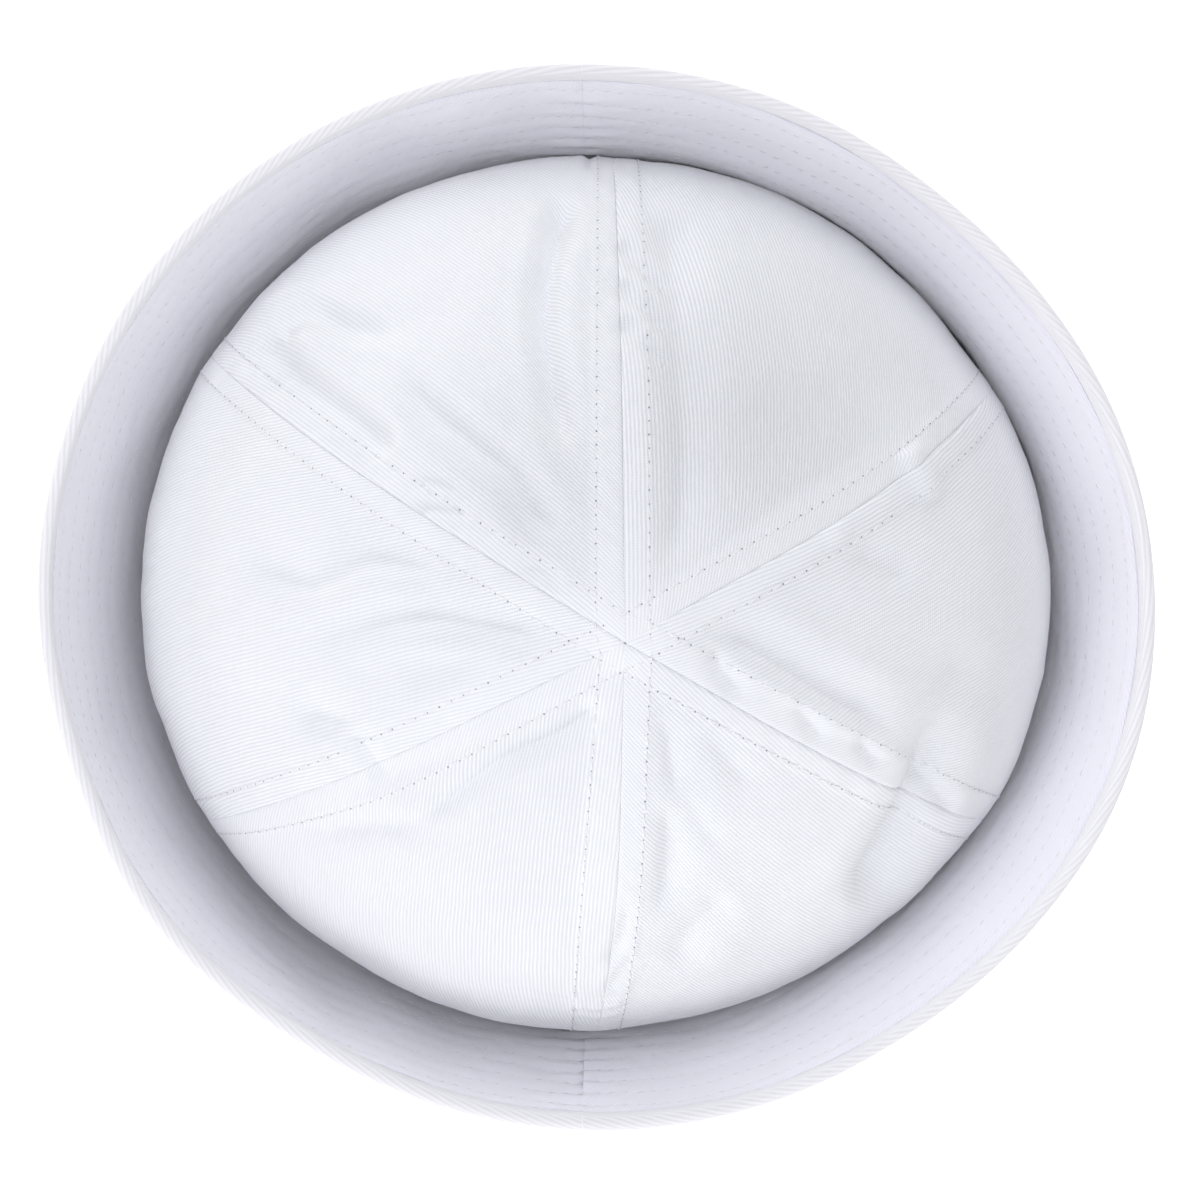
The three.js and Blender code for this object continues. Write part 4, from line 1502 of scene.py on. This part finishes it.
@dataclass
class BrimOuter:
    """Outer ply of half the brim: bottom fold, outer wall, and the roll over the rim."""

    form: BrimForm
    half: BrimHalf
    finish: TwillFinish
    steps: int = 252
    clearance: float = 0.012
    roll_limb: float = 2.6  # straight part of the roll, above the facing's edge
    lip: float = 0.12  # distance of the roll's lip above the facing's edge
    lip_width: float = 0.8  # over which the lip is drawn in by its stitching
    lip_depth: float = 0.45
    foot_inside: float = 2.4  # how far the bottom fold reaches inside the fold line
    foot_bend: float = 1.1  # radius at the foot of the outer wall
    roll_steps: int = 14
    bend_steps: int = 7

    def _normals(self, out: Array, height: Array) -> Pair:
        """Square outward directions of lines in section that run downwards."""
        along_out = np.gradient(out, axis=0)
        along_height = np.gradient(height, axis=0)
        length = np.hypot(along_out, along_height)
        return -along_height / length, along_out / length

    def _roll(self, angle: Array, edge: tuple, across: tuple) -> tuple:
        """The roll in section, from its lip over the rim and down to the facing's edge level.

        Args:
            angle: angles in degrees.
            edge: out and height of the ply line's place at the facing's edge.
            across: outward direction there.

        Returns:
            Out and height of the roll's line, as rows by columns, and the roll's width.
        """
        form = self.form
        along = (-across[1], across[0])
        half = form.ply / 2
        limb = form.gap + self.roll_limb
        room = form.edge_inset.at(angle) - half * (1 + across[0]) - limb * along[0]
        radius = np.maximum((form.ply + form.gap) / 2, room / (1 + across[0]))
        places = [(0.0, lift) for lift in np.linspace(self.lip, limb, 5)[:-1]]
        for turn in np.linspace(math.pi, 0.0, self.roll_steps + 1):
            places.append((radius * (1 + math.cos(turn)), limb + radius * math.sin(turn)))
        places += [(2 * radius, lift) for lift in np.linspace(limb, 0.0, 4)[1:-1]]
        out, height = (
            np.array([edge[k] + across[k] * side + along[k] * lift for side, lift in places])
            for k in (0, 1)
        )
        return out, height, 2 * radius

    def _foot(self, wall_out: Array, wall_height: Array) -> tuple:
        """The bend from the wall's lowest part to the ground, and the flat fold inwards.

        Args:
            wall_out: distances of the wall's line outside the fold.
            wall_height: its heights.

        Returns:
            Out and height of the foot's line, as rows by columns.
        """
        half = self.form.ply / 2
        lean = np.arctan2(wall_height[-2] - wall_height[-1], wall_out[-2] - wall_out[-1])
        corner = wall_out[-1] + (half - wall_height[-1]) / np.tan(lean)
        start = corner - self.foot_bend * np.tan(lean / 2)
        out, height = [], []
        for share in np.linspace(1.0, 0.0, self.bend_steps + 1):
            out.append(start + self.foot_bend * np.sin(lean * share))
            height.append(half + self.foot_bend * (1 - np.cos(lean * share)))
        for share in np.linspace(0.0, 1.0, 4)[1:]:
            out.append(start + (-self.foot_inside - start) * share)
            height.append(np.full_like(start, half))
        return np.array(out), np.array(height)

    def grid(self) -> ClothGrid:
        """Works out the outer ply's two faces and its flat cut.

        Returns:
            The cloth.
        """
        form = self.form
        angle = form.columns(self.half, self.steps, self.clearance)
        levels = form.levels()
        levels = levels[levels < form.length_below_edge(angle).min() - 1.5]
        line_out, line_height = form.face_line(angle, levels)
        across = self._normals(line_out, line_height)
        half = form.ply / 2
        edge = (line_out[0] + across[0][0] * half, line_height[0] + across[1][0] * half)
        roll = self._roll(angle, edge, (across[0][0], across[1][0]))
        shift = form.ply + form.gap + half
        wall_out = line_out + across[0] * shift
        wall_height = line_height + across[1] * shift
        swell = smooth_step(3.0, 0.0, levels)[:, None] * (roll[2] + half - shift)[None, :]
        wall_out += across[0] * swell
        wall_height += across[1] * swell
        foot_out, foot_height = self._foot(wall_out, wall_height)
        out = np.concatenate([roll[0], wall_out, foot_out])
        height = np.concatenate([roll[1], wall_height, foot_height])
        normal = self._normals(out, height)
        middle = form.ring(angle[None, :], out, height)
        run = run_lengths(middle, 0)
        first = len(roll[0])
        turned = angle[None, :] + 0.0 * run
        depth = run - run[first : first + 1]
        relief = form.quilt(turned, depth, form.outer_shift)
        on_wall = smooth_step(0.5, 3.0, depth) * smooth_step(-1.0, -6.0, depth - levels[-1])
        lift = relief * on_wall
        drawn_in = bell(run, self.lip_width) * self.lip_depth
        lip = form.groove.at(angle)[None, :] * drawn_in
        face_out = out + normal[0] * (half + lift - lip)
        face_height = height + normal[1] * (half + lift - lip)
        face = form.ring(angle[None, :], face_out, face_height)
        back = form.ring(angle[None, :], out - normal[0] * half, height - normal[1] * half)
        face[..., 2] = np.maximum(face[..., 2], 0.0)
        flat = form.flat(turned, -run - 3.0, self.half.middle)
        weave = form.along_rim(turned, run, self.finish)
        return ClothGrid(face, back, flat, weave, np.ones_like(run))


# -------------------- stitching


ROW_RISE = 0.04  # how far the path of a row stands off its cloth, in millimetres


@dataclass
class StitchRow:
    """Path of one row of stitching, with the way its stitches face."""

    points: Array
    out: Array
    thread: float = 1.0  # thickness of its thread, as a share of the usual
    hole: float = 1.0  # size of its needle holes, as a share of the usual


class StitchShape(Enum):
    """What stands at each step of a row."""

    THREAD = "thread"
    HOLE = "hole"


@dataclass(frozen=True)
class StitchSizes:
    """Sizes of the stitching, in millimetres."""

    pitch: float = 2.9
    length: float = 2.6
    thickness: float = 0.28
    rise: float = 0.13
    dip: float = 0.20
    taper: float = 0.35  # share of its thickness that a stitch loses at its ends
    hole: float = 0.17  # half width of a needle hole
    hole_floor: float = -0.01  # height of its bottom over the row's path
    hole_rim: float = 0.06  # height of its rim
    slant: float = 9.0  # degrees between a stitch and its row
    wobble: float = 5.0  # degrees of unevenness
    thread_spread: float = 0.07  # by which the stitches' sizes differ
    hole_spread: float = 0.2


class StitchTree(NodeBench):
    """Geometry Nodes that set one shape along rows of stitching."""

    def __init__(self, name: str) -> None:
        """Builds the tree.

        Args:
            name: the node group's name.
        """
        super().__init__(bpy.data.node_groups.new(name, "GeometryNodeTree"))
        self.inputs: dict[str, str] = {}
        face = self.tree.interface
        face.new_socket("Geometry", in_out="INPUT", socket_type="NodeSocketGeometry")
        face.new_socket("Geometry", in_out="OUTPUT", socket_type="NodeSocketGeometry")
        for title, kind in (
            ("Shape", "Object"), ("Pitch", "Float"), ("Shift", "Float"), ("Slant", "Float"),
            ("Wobble", "Float"), ("Unevenness", "Float"), ("Seed", "Int"), ("Finish", "Material"),
        ):
            made = face.new_socket(title, in_out="INPUT", socket_type=f"NodeSocket{kind}")
            self.inputs[title] = made.identifier
        self._build()

    def _named(self, name: str, kind: str) -> Socket:
        """Reads a named attribute of the row."""
        made = self.wired("GeometryNodeInputNamedAttribute", {"Name": name}, data_type=kind)
        return made.outputs["Attribute"]

    def _random(self, low: Socket, high: Socket, seed: Socket, shift: int) -> Socket:
        """Adds a random number.

        Args:
            low: its least value.
            high: its greatest value.
            seed: the tree's seed.
            shift: sets this number's draws apart from another's.

        Returns:
            The number.
        """
        made = self.node("FunctionNodeRandomValue", data_type="FLOAT")
        numbers = [s for s in made.inputs if s.type == "VALUE" and s.enabled]
        self.feed(numbers[0], low)
        self.feed(numbers[1], high)
        self.feed(made.inputs["Seed"], self.maths("ADD", seed, shift))
        return next(s for s in made.outputs if s.type == "VALUE" and s.enabled)

    def _rotation(self, given: Sockets, tangent: Socket) -> Socket:
        """Turns a shape to face outwards along its row, with its slant and unevenness.

        Args:
            given: the tree's inputs.
            tangent: direction of the row.

        Returns:
            The rotation.
        """
        facing = self.wired(
            "FunctionNodeAxesToRotation",
            {"Primary Axis": self._named("out", "FLOAT_VECTOR"), "Secondary Axis": tangent},
            primary_axis="Z", secondary_axis="X",
        )
        spread = given["Wobble"]
        wobble = self._random(self.maths("MULTIPLY", spread, -1.0), spread, given["Seed"], 0)
        lean = self.maths("ADD", given["Slant"], wobble)
        turn = self.wired(
            "FunctionNodeAxisAngleToRotation", {"Axis": (0.0, 0.0, 1.0), "Angle": lean}
        )
        turned = self.wired(
            "FunctionNodeRotateRotation",
            {"Rotation": facing.outputs[0], "Rotate By": turn.outputs[0]},
            rotation_space="LOCAL",
        )
        return turned.outputs[0]

    def _scale(self, given: Sockets) -> Socket:
        """The size that a row gives its shapes, with their unevenness.

        Args:
            given: the tree's inputs.

        Returns:
            The scale.
        """
        uneven = given["Unevenness"]
        low, high = self.maths("SUBTRACT", 1.0, uneven), self.maths("ADD", 1.0, uneven)
        grown = self._random(low, high, given["Seed"], 7)
        return self.maths("MULTIPLY", grown, self._named("size", "FLOAT"))

    def _build(self) -> None:
        """Rows to curves, even steps, a turned shape on each step, then real mesh and finish."""
        given = self.node("NodeGroupInput").outputs
        tangent = self.node("GeometryNodeInputTangent").outputs["Tangent"]
        curve = self.wired("GeometryNodeMeshToCurve", {"Mesh": given["Geometry"]})
        steps = self.wired(
            "GeometryNodeResampleCurve",
            {"Curve": curve.outputs["Curve"], "Length": given["Pitch"]}, mode="LENGTH",
        )
        shift = self.wired(
            "ShaderNodeVectorMath", {0: tangent, "Scale": given["Shift"]}, operation="SCALE"
        )
        moved = self.wired(
            "GeometryNodeSetPosition",
            {"Geometry": steps.outputs["Curve"], "Offset": shift.outputs[0]},
        )
        shape = self.wired("GeometryNodeObjectInfo", {"Object": given["Shape"]})
        placed = self.wired(
            "GeometryNodeInstanceOnPoints",
            {
                "Points": moved.outputs["Geometry"],
                "Instance": shape.outputs["Geometry"],
                "Rotation": self._rotation(given, tangent),
                "Scale": self._scale(given),
            },
        )
        real = self.wired(
            "GeometryNodeRealizeInstances", {"Geometry": placed.outputs["Instances"]}
        )
        dressed = self.wired(
            "GeometryNodeSetMaterial",
            {"Geometry": real.outputs["Geometry"], "Material": given["Finish"]},
        )
        self.wired("NodeGroupOutput", {"Geometry": dressed.outputs["Geometry"]})


@dataclass
class Stitcher:
    """Sews rows of stitches, with their needle holes, as plain meshes."""

    sizes: StitchSizes
    thread: bpy.types.Material
    hole: bpy.types.Material
    tree: StitchTree = field(default_factory=lambda: StitchTree("stitches along rows"))

    def _stitch_mesh(self) -> bpy.types.Mesh:
        """One stitch: a short round thread that dips into the cloth at both ends."""
        sizes = self.sizes
        sides, rings = 5, 4
        points, quads = [], []
        for i in range(rings + 1):
            share = 2.0 * i / rings - 1.0
            x = share * sizes.length / 2
            z = sizes.rise - (sizes.rise + sizes.dip) * share**4
            thick = sizes.thickness / 2 * (1.0 - sizes.taper * share**4)
            for j in range(sides):
                turn = math.tau * (j + 0.5) / sides
                points.append((x, thick * math.cos(turn), z + thick * math.sin(turn)))
        for i in range(rings):
            for j in range(sides):
                a, b = i * sides + j, i * sides + (j + 1) % sides
                quads.append((a, b, b + sides, a + sides))
        quads.append(tuple(range(sides - 1, -1, -1)))
        quads.append(tuple(range(rings * sides, rings * sides + sides)))
        return self._shape_mesh("one stitch", points, quads)

    def _hole_mesh(self) -> bpy.types.Mesh:
        """One needle hole: a small dish, wider across than deep, that carries the hole's painted
        shade.
        """
        sides = 7
        radius, rim = self.sizes.hole, self.sizes.hole_rim
        points = [(0.0, 0.0, self.sizes.hole_floor)]
        for j in range(sides):
            turn = math.tau * j / sides
            points.append((radius * math.cos(turn), radius * math.sin(turn), rim))
        faces = [(0, 1 + j, 1 + (j + 1) % sides) for j in range(sides)]
        return self._shape_mesh("one needle hole", points, faces)

    @staticmethod
    def _shape_mesh(name: str, points: list, faces: list) -> bpy.types.Mesh:
        """A small smooth mesh in metres, from points in millimetres."""
        mesh = bpy.data.meshes.new(name)
        mesh.from_pydata([tuple(c * MM for c in point) for point in points], [], faces)
        mesh.shade_smooth()
        return mesh

    def _path(self, rows: Sequence[StitchRow], shape: StitchShape) -> bpy.types.Object:
        """The rows as chains of edges that carry their outward directions and sizes.

        Args:
            rows: the rows.
            shape: what is set along them, which says whose sizes are taken.

        Returns:
            The chains.
        """
        points = np.concatenate([row.points for row in rows]) * MM
        out = np.concatenate([row.out for row in rows])
        edges, size, at = [], [], 0
        for row in rows:
            count = len(row.points)
            edges += [(at + i, at + i + 1) for i in range(count - 1)]
            share = row.thread if shape is StitchShape.THREAD else row.hole
            size += [share] * count
            at += count
        mesh = bpy.data.meshes.new("rows")
        mesh.from_pydata(points.tolist(), edges, [])
        facing = mesh.attributes.new("out", "FLOAT_VECTOR", "POINT")
        facing.data.foreach_set("vector", out.astype(np.float32).ravel())
        sizes = mesh.attributes.new("size", "FLOAT", "POINT")
        sizes.data.foreach_set("value", np.array(size, np.float32))
        return new_object("rows", mesh)

    def sew(
        self, name: str, rows: Sequence[StitchRow], shape: StitchShape, seed: int
    ) -> bpy.types.Object:
        """Sets stitches or needle holes along rows.

        Args:
            name: the piece's name.
            rows: the rows.
            shape: what is set along them.
            seed: for the unevenness.

        Returns:
            The piece, a plain mesh.
        """
        sizes = self.sizes
        is_thread = shape is StitchShape.THREAD
        mesh = self._stitch_mesh() if is_thread else self._hole_mesh()
        pattern = new_object("pattern", mesh)
        path = self._path(rows, shape)
        modifier = path.modifiers.new("stitches", "NODES")
        modifier.node_group = self.tree.tree
        values = {
            "Shape": pattern,
            "Pitch": sizes.pitch * MM,
            "Shift": 0.0 if is_thread else sizes.pitch * MM / 2,
            "Slant": math.radians(sizes.slant) if is_thread else 0.0,
            "Wobble": math.radians(sizes.wobble),
            "Unevenness": sizes.thread_spread if is_thread else sizes.hole_spread,
            "Seed": seed,
            "Finish": self.thread if is_thread else self.hole,
        }
        for title, value in values.items():
            modifier[self.tree.inputs[title]] = value
        bpy.context.view_layer.update()
        graph = bpy.context.evaluated_depsgraph_get()
        made = bpy.data.meshes.new_from_object(path.evaluated_get(graph))
        made.name = name
        for attribute in ("out", "size"):
            if attribute in made.attributes:
                made.attributes.remove(made.attributes[attribute])
        piece = new_object(name, made)
        for used in (path, pattern):
            data = used.data
            bpy.data.objects.remove(used)
            bpy.data.meshes.remove(data)
        return piece


# -------------------- sub-assemblies


def count_triangles(piece: bpy.types.Object) -> int:
    """Triangles in a piece's mesh."""
    return sum(len(polygon.vertices) - 2 for polygon in piece.data.polygons)


def settle(piece: bpy.types.Object) -> None:
    """Lets a piece ride on the hat's body.

    Args:
        piece: the piece.
    """
    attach(piece, "root")
    LOG.info("%s: %d triangles", piece.name, count_triangles(piece))


@dataclass
class Crown:
    """Six gores and the rows of stitching beside their seams."""

    form: CrownForm = field(default_factory=CrownForm)
    # the groove colour is painted shade in the weave's hollows
    finish: TwillFinish = TwillFinish(
        "crown twill", (0.945, 0.955, 0.992), (0.775, 0.788, 0.840), rib_height=0.12
    )
    inside_depth: float = 1.7  # of the inner rows below the smooth dome

    def build(self) -> None:
        """Makes the gores."""
        cloth = self.finish.make()
        for index in range(len(self.form.seam_angles)):
            grid = CrownGore(self.form, index).grid()
            piece = grid.piece(f"crown_gore_{index + 1}")
            piece.data.materials.append(cloth)
            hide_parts(f"crown_panel_{index + 1}")
            grid.flat_size()
            grid.flat_area()
            settle(piece)

    def _row(self, seam: int, ahead: bool, thick: float) -> StitchRow:
        """Half a row beside a seam, from near the top to the lower edge.

        Args:
            seam: the seam's number.
            ahead: whether the row lies on the seam's anticlockwise side.
            thick: depth below the smooth dome at which it runs, 0 on the outer face.

        Returns:
            The row.
        """
        form = self.form
        along, across = form.seam_frame(seam)
        reach_end = form.seam_length(seam)
        run = np.arange(2.0, reach_end + 4.0, 0.8)
        path = (form.rows_ahead if ahead else form.rows_behind)[seam]
        side = path.offset(run / reach_end, form.swing(run / reach_end))
        x = form.top[0] + along[0] * run + across[0] * side
        y = form.top[1] + along[1] * run + across[1] * side
        turns, angles = self._lookup(x, y)
        keep = turns < math.radians(89.0)
        turns, angles = turns[keep], angles[keep]
        side_heights = np.arange(form.widest_height, form.base + 1.0, -0.9)
        angle = np.concatenate([angles, np.full(len(side_heights), angles[-1])])
        points, out = form.place(form.rings_at(turns, side_heights), angle)
        px, py = points[:, 0], points[:, 1]
        if thick:
            lift = form.inner_folds(px, py) - thick - ROW_RISE
            return StitchRow(points + out * lift[:, None], -out)
        lift = form.height(px, py) + ROW_RISE
        return StitchRow(points + out * lift[:, None], out)

    def _lookup(self, x: Array, y: Array) -> Pair:
        """Finds the rings that places in plan lie on, by halving steps.

        Args:
            x: in mm.
            y: in mm.

        Returns:
            Turn from the top and angle round the hat of each place, in radians.
        """
        form = self.form

        def from_middle(reach: Array) -> Pair:
            """Distances from the middle of the rings at a reach, in widest half widths."""
            dx = (x - form.top[0] * (1 - reach)) / form.widest_x
            dy = (y - form.top[1] * (1 - reach)) / form.widest_y
            return dx, dy

        low, high = np.zeros_like(x), np.full_like(x, 1.05)
        for _ in range(40):
            reach = (low + high) / 2
            dx, dy = from_middle(reach)
            outside = dx * dx + dy * dy > reach * reach
            low = np.where(outside, reach, low)
            high = np.where(outside, high, reach)
        reach = (low + high) / 2
        dx, dy = from_middle(reach)
        turns = np.where(reach < 1.0, np.arcsin(np.minimum(reach, 1.0)), math.pi / 2)
        return turns, np.arctan2(dy, dx)

    def rows(self, thick: float) -> list[StitchRow]:
        """Six rows that run straight across the top, from edge to edge.

        Args:
            thick: 0 for the outer face, or the depth of the inner one.

        Returns:
            The rows.
        """
        rows = []
        for seam in range(3):
            for ahead in (False, True):
                there = self._row(seam, ahead, thick)
                back = self._row(seam + 3, not ahead, thick)
                rows.append(
                    StitchRow(
                        np.concatenate([there.points[::-1], back.points]),
                        np.concatenate([there.out[::-1], back.out]),
                    )
                )
        return rows

    def sew(self, stitcher: Stitcher) -> None:
        """Adds the topstitching, its needle holes, and the same rows on the inside."""
        outside = self.rows(0.0)
        inside = self.rows(self.inside_depth)
        settle(stitcher.sew("crown_topstitching", outside, StitchShape.THREAD, 3))
        settle(stitcher.sew("crown_needle_holes", outside, StitchShape.HOLE, 4))
        settle(stitcher.sew("crown_inside_stitching", inside, StitchShape.THREAD, 5))


@dataclass
class Brim:
    """The turned-up brim of two plies, each in two halves, sewn through in nine rows."""

    form: BrimForm = field(default_factory=BrimForm)
    halves: tuple[BrimHalf, BrimHalf] = (
        BrimHalf("right", BRIM_SEAMS[1] - 360.0, BRIM_SEAMS[0]),
        BrimHalf("left", BRIM_SEAMS[0], BRIM_SEAMS[1]),
    )
    inner_thread: float = 0.6  # thickness of the thread on the facing, as a share of the usual
    inner_hole: float = 0.22  # size of the needle holes there, as a share of the usual
    # Facing colours: the crown's cloth made darker and mauver, as painted shade of the brim's
    # inside; the groove colour is painted shade in the weave's hollows.
    facing_finish: TwillFinish = TwillFinish(
        "facing twill", (0.884, 0.877, 0.945), (0.839, 0.832, 0.902), rib_height=0.04
    )
    # Outer colours: the crown's cloth made a little darker, as painted shade; the groove colour is
    # painted shade in the weave's hollows.
    outer_finish: TwillFinish = TwillFinish(
        "outer twill", (0.920, 0.915, 0.950), (0.805, 0.800, 0.840),
        rib_height=0.06, warp=0.180, pick=0.490,
    )

    def build(self) -> None:
        """Makes the four plies."""
        facing, outer = self.facing_finish.make(), self.outer_finish.make()
        for half in self.halves:
            for kind, cloth, material, slot in (
                ("facing", BrimFacing(self.form, half), facing, Slot.FACING),
                ("outer", BrimOuter(self.form, half, self.outer_finish), outer, Slot.OUTER),
            ):
                grid = cloth.grid()
                piece = grid.piece(f"brim_{kind}_{half.name}_cloth")
                piece.data.materials.append(material)
                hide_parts(f"brim_{kind}_{half.name}")
                grid.flat_size()
                grid.flat_area()
                settle(piece)

    def _row(self, depth: float, outer: bool) -> StitchRow:
        """One row round the brim, on the facing or on the outer wall.

        Args:
            depth: distance below the facing's edge.
            outer: whether it runs on the outer wall.

        Returns:
            The row.
        """
        form = self.form
        angle = np.arange(self.halves[0].start, self.halves[1].end, 0.45)
        near = np.array([depth - 0.4, depth, depth + 0.4])
        out, height = form.face_line(angle, near)
        points = form.ring(angle[None, :], out, height)
        normal = grid_normals(points)[1]
        if normal[0] @ points[1, 0] > 0:
            normal = -normal
        flat_depth = np.full_like(angle, depth)
        if outer:
            relief = form.quilt(angle, flat_depth, form.outer_shift)
            lift = relief + 2 * form.ply + form.gap + ROW_RISE
            return StitchRow(points[1] - normal * lift[:, None], -normal)
        lift = form.quilt(angle, flat_depth) + ROW_RISE
        place = points[1] + normal * lift[:, None]
        return StitchRow(place, normal, self.inner_thread, self.inner_hole)

    def sew(self, stitcher: Stitcher) -> None:
        """Adds the nine rows on both sides of the brim, and their needle holes."""
        inside = [self._row(float(depth), False) for depth in self.form.rows()]
        outside = [self._row(float(depth), True) for depth in self.form.rows()]
        settle(stitcher.sew("brim_inner_stitching", inside, StitchShape.THREAD, 6))
        settle(stitcher.sew("brim_outer_stitching", outside, StitchShape.THREAD, 7))
        settle(stitcher.sew("brim_needle_holes", inside, StitchShape.HOLE, 8))


# -------------------- studio


@dataclass(frozen=True)
class AreaLight:
    """A large soft lamp that looks at the hat."""

    name: str
    azimuth: float  # degrees
    elevation: float  # degrees
    power: float  # watts
    distance: float = 2.4
    size: float = 1.9

    def make(self) -> None:
        """Puts the lamp in the scene."""
        data = bpy.data.lights.new(self.name, "AREA")
        data.shape = "DISK"
        data.size = self.size
        data.energy = self.power
        turn, rise = math.radians(self.azimuth), math.radians(self.elevation)
        place = Vector(
            (math.cos(turn) * math.cos(rise), math.sin(turn) * math.cos(rise), math.sin(rise))
        )
        lamp = new_object(self.name, data)
        lamp.location = place * self.distance
        lamp.rotation_euler = place.to_track_quat("Z", "Y").to_euler()
        lamp.visible_camera = False


@dataclass
class Studio:
    """Plain pale floor, plain soft light and the camera."""

    view_width: float = 0.2472  # metres across the frame in the rim's plane
    distance: float = 1.2
    lean: float = 2.35  # degrees from straight above, towards +Y
    aim: tuple[float, float, float] = (0.00072, -0.0001, 0.060)
    sensor: float = 36.0  # width in millimetres
    sky: float = 0.250
    floor_glow: float = 0.30
    floor_radius: float = 3.0
    floor_sides: int = 96
    lamps: tuple[AreaLight, ...] = (
        AreaLight("top", 0.0, 89.0, 14.3),
        AreaLight("far right side", 42.0, 50.0, 8.1),
        AreaLight("far side", 90.0, 50.0, 5.4),
        AreaLight("far side, low", 90.0, 20.0, 13.8),
        AreaLight("left side", 180.0, 50.0, 13.0),
        AreaLight("near left side, low", 225.0, 20.0, 11.5),
        AreaLight("near side, low", 270.0, 20.0, 24.6),
    )

    def build(self) -> None:
        """Makes floor, light and camera."""
        self._floor()
        self._sky()
        for lamp in self.lamps:
            lamp.make()
        self._camera()
        bpy.context.scene.view_settings.view_transform = "Standard"

    def _floor(self) -> None:
        """A wide pale disc under the hat."""
        mesh = bpy.data.meshes.new("floor")
        turns = [math.tau * i / self.floor_sides for i in range(self.floor_sides)]
        radius = self.floor_radius
        rim = [(radius * math.cos(turn), radius * math.sin(turn), 0.0) for turn in turns]
        mesh.from_pydata(rim, [], [tuple(range(self.floor_sides))])
        bench = ShaderBench("floor paper")
        bench.dress({
            "Base Color": (0.97, 0.97, 0.97, 1.0),
            "Roughness": 0.9,
            "Emission Color": (1.0, 1.0, 1.0, 1.0),
            "Emission Strength": self.floor_glow,
        })
        mesh.materials.append(bench.material)
        floor = new_object("floor", mesh)

    def _sky(self) -> None:
        """Even white light from all round."""
        world = bpy.data.worlds.new("soft room")
        world.use_nodes = True
        background = world.node_tree.nodes["Background"]
        background.inputs["Color"].default_value = (1.0, 1.0, 1.0, 1.0)
        background.inputs["Strength"].default_value = self.sky
        bpy.context.scene.world = world

    def _camera(self) -> None:
        """The camera above the hat."""
        data = bpy.data.cameras.new("camera")
        data.sensor_width = self.sensor
        data.lens = self.sensor * self.distance / self.view_width
        data.clip_start, data.clip_end = 0.05, 20.0
        camera = new_object("camera", data)
        lean = math.radians(self.lean)
        back = Vector((0.0, math.sin(lean), math.cos(lean)))
        camera.location = Vector(self.aim) + back * self.distance
        camera.rotation_euler = (-lean, 0.0, 0.0)
        bpy.context.scene.camera = camera


# -------------------- making


def corners(box: tuple[Vector, Vector]) -> list[list[float]]:
    """A box's two corners as plain lists."""
    return [list(box[0]), list(box[1])]


def main() -> None:
    """Makes the studio, the crown and the brim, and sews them."""
    logging.basicConfig(level=logging.INFO, format="%(message)s")
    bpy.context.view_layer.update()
    Studio().build()
    thread = ThreadFinish(
        "white thread", (0.95, 0.95, 0.97), (0.86, 0.86, 0.90), 0.45
    ).make()
    # The needle holes' dark finish is painted shade in the holes.
    hole = ThreadFinish(
        "needle hole shade", (0.36, 0.36, 0.42), (0.24, 0.24, 0.30), 0.8
    ).make()
    stitcher = Stitcher(StitchSizes(), thread, hole)
    crown = Crown()
    crown.build()
    crown.sew(stitcher)
    brim = Brim()
    brim.build()
    brim.sew(stitcher)


if __name__ == "__main__":
    main()
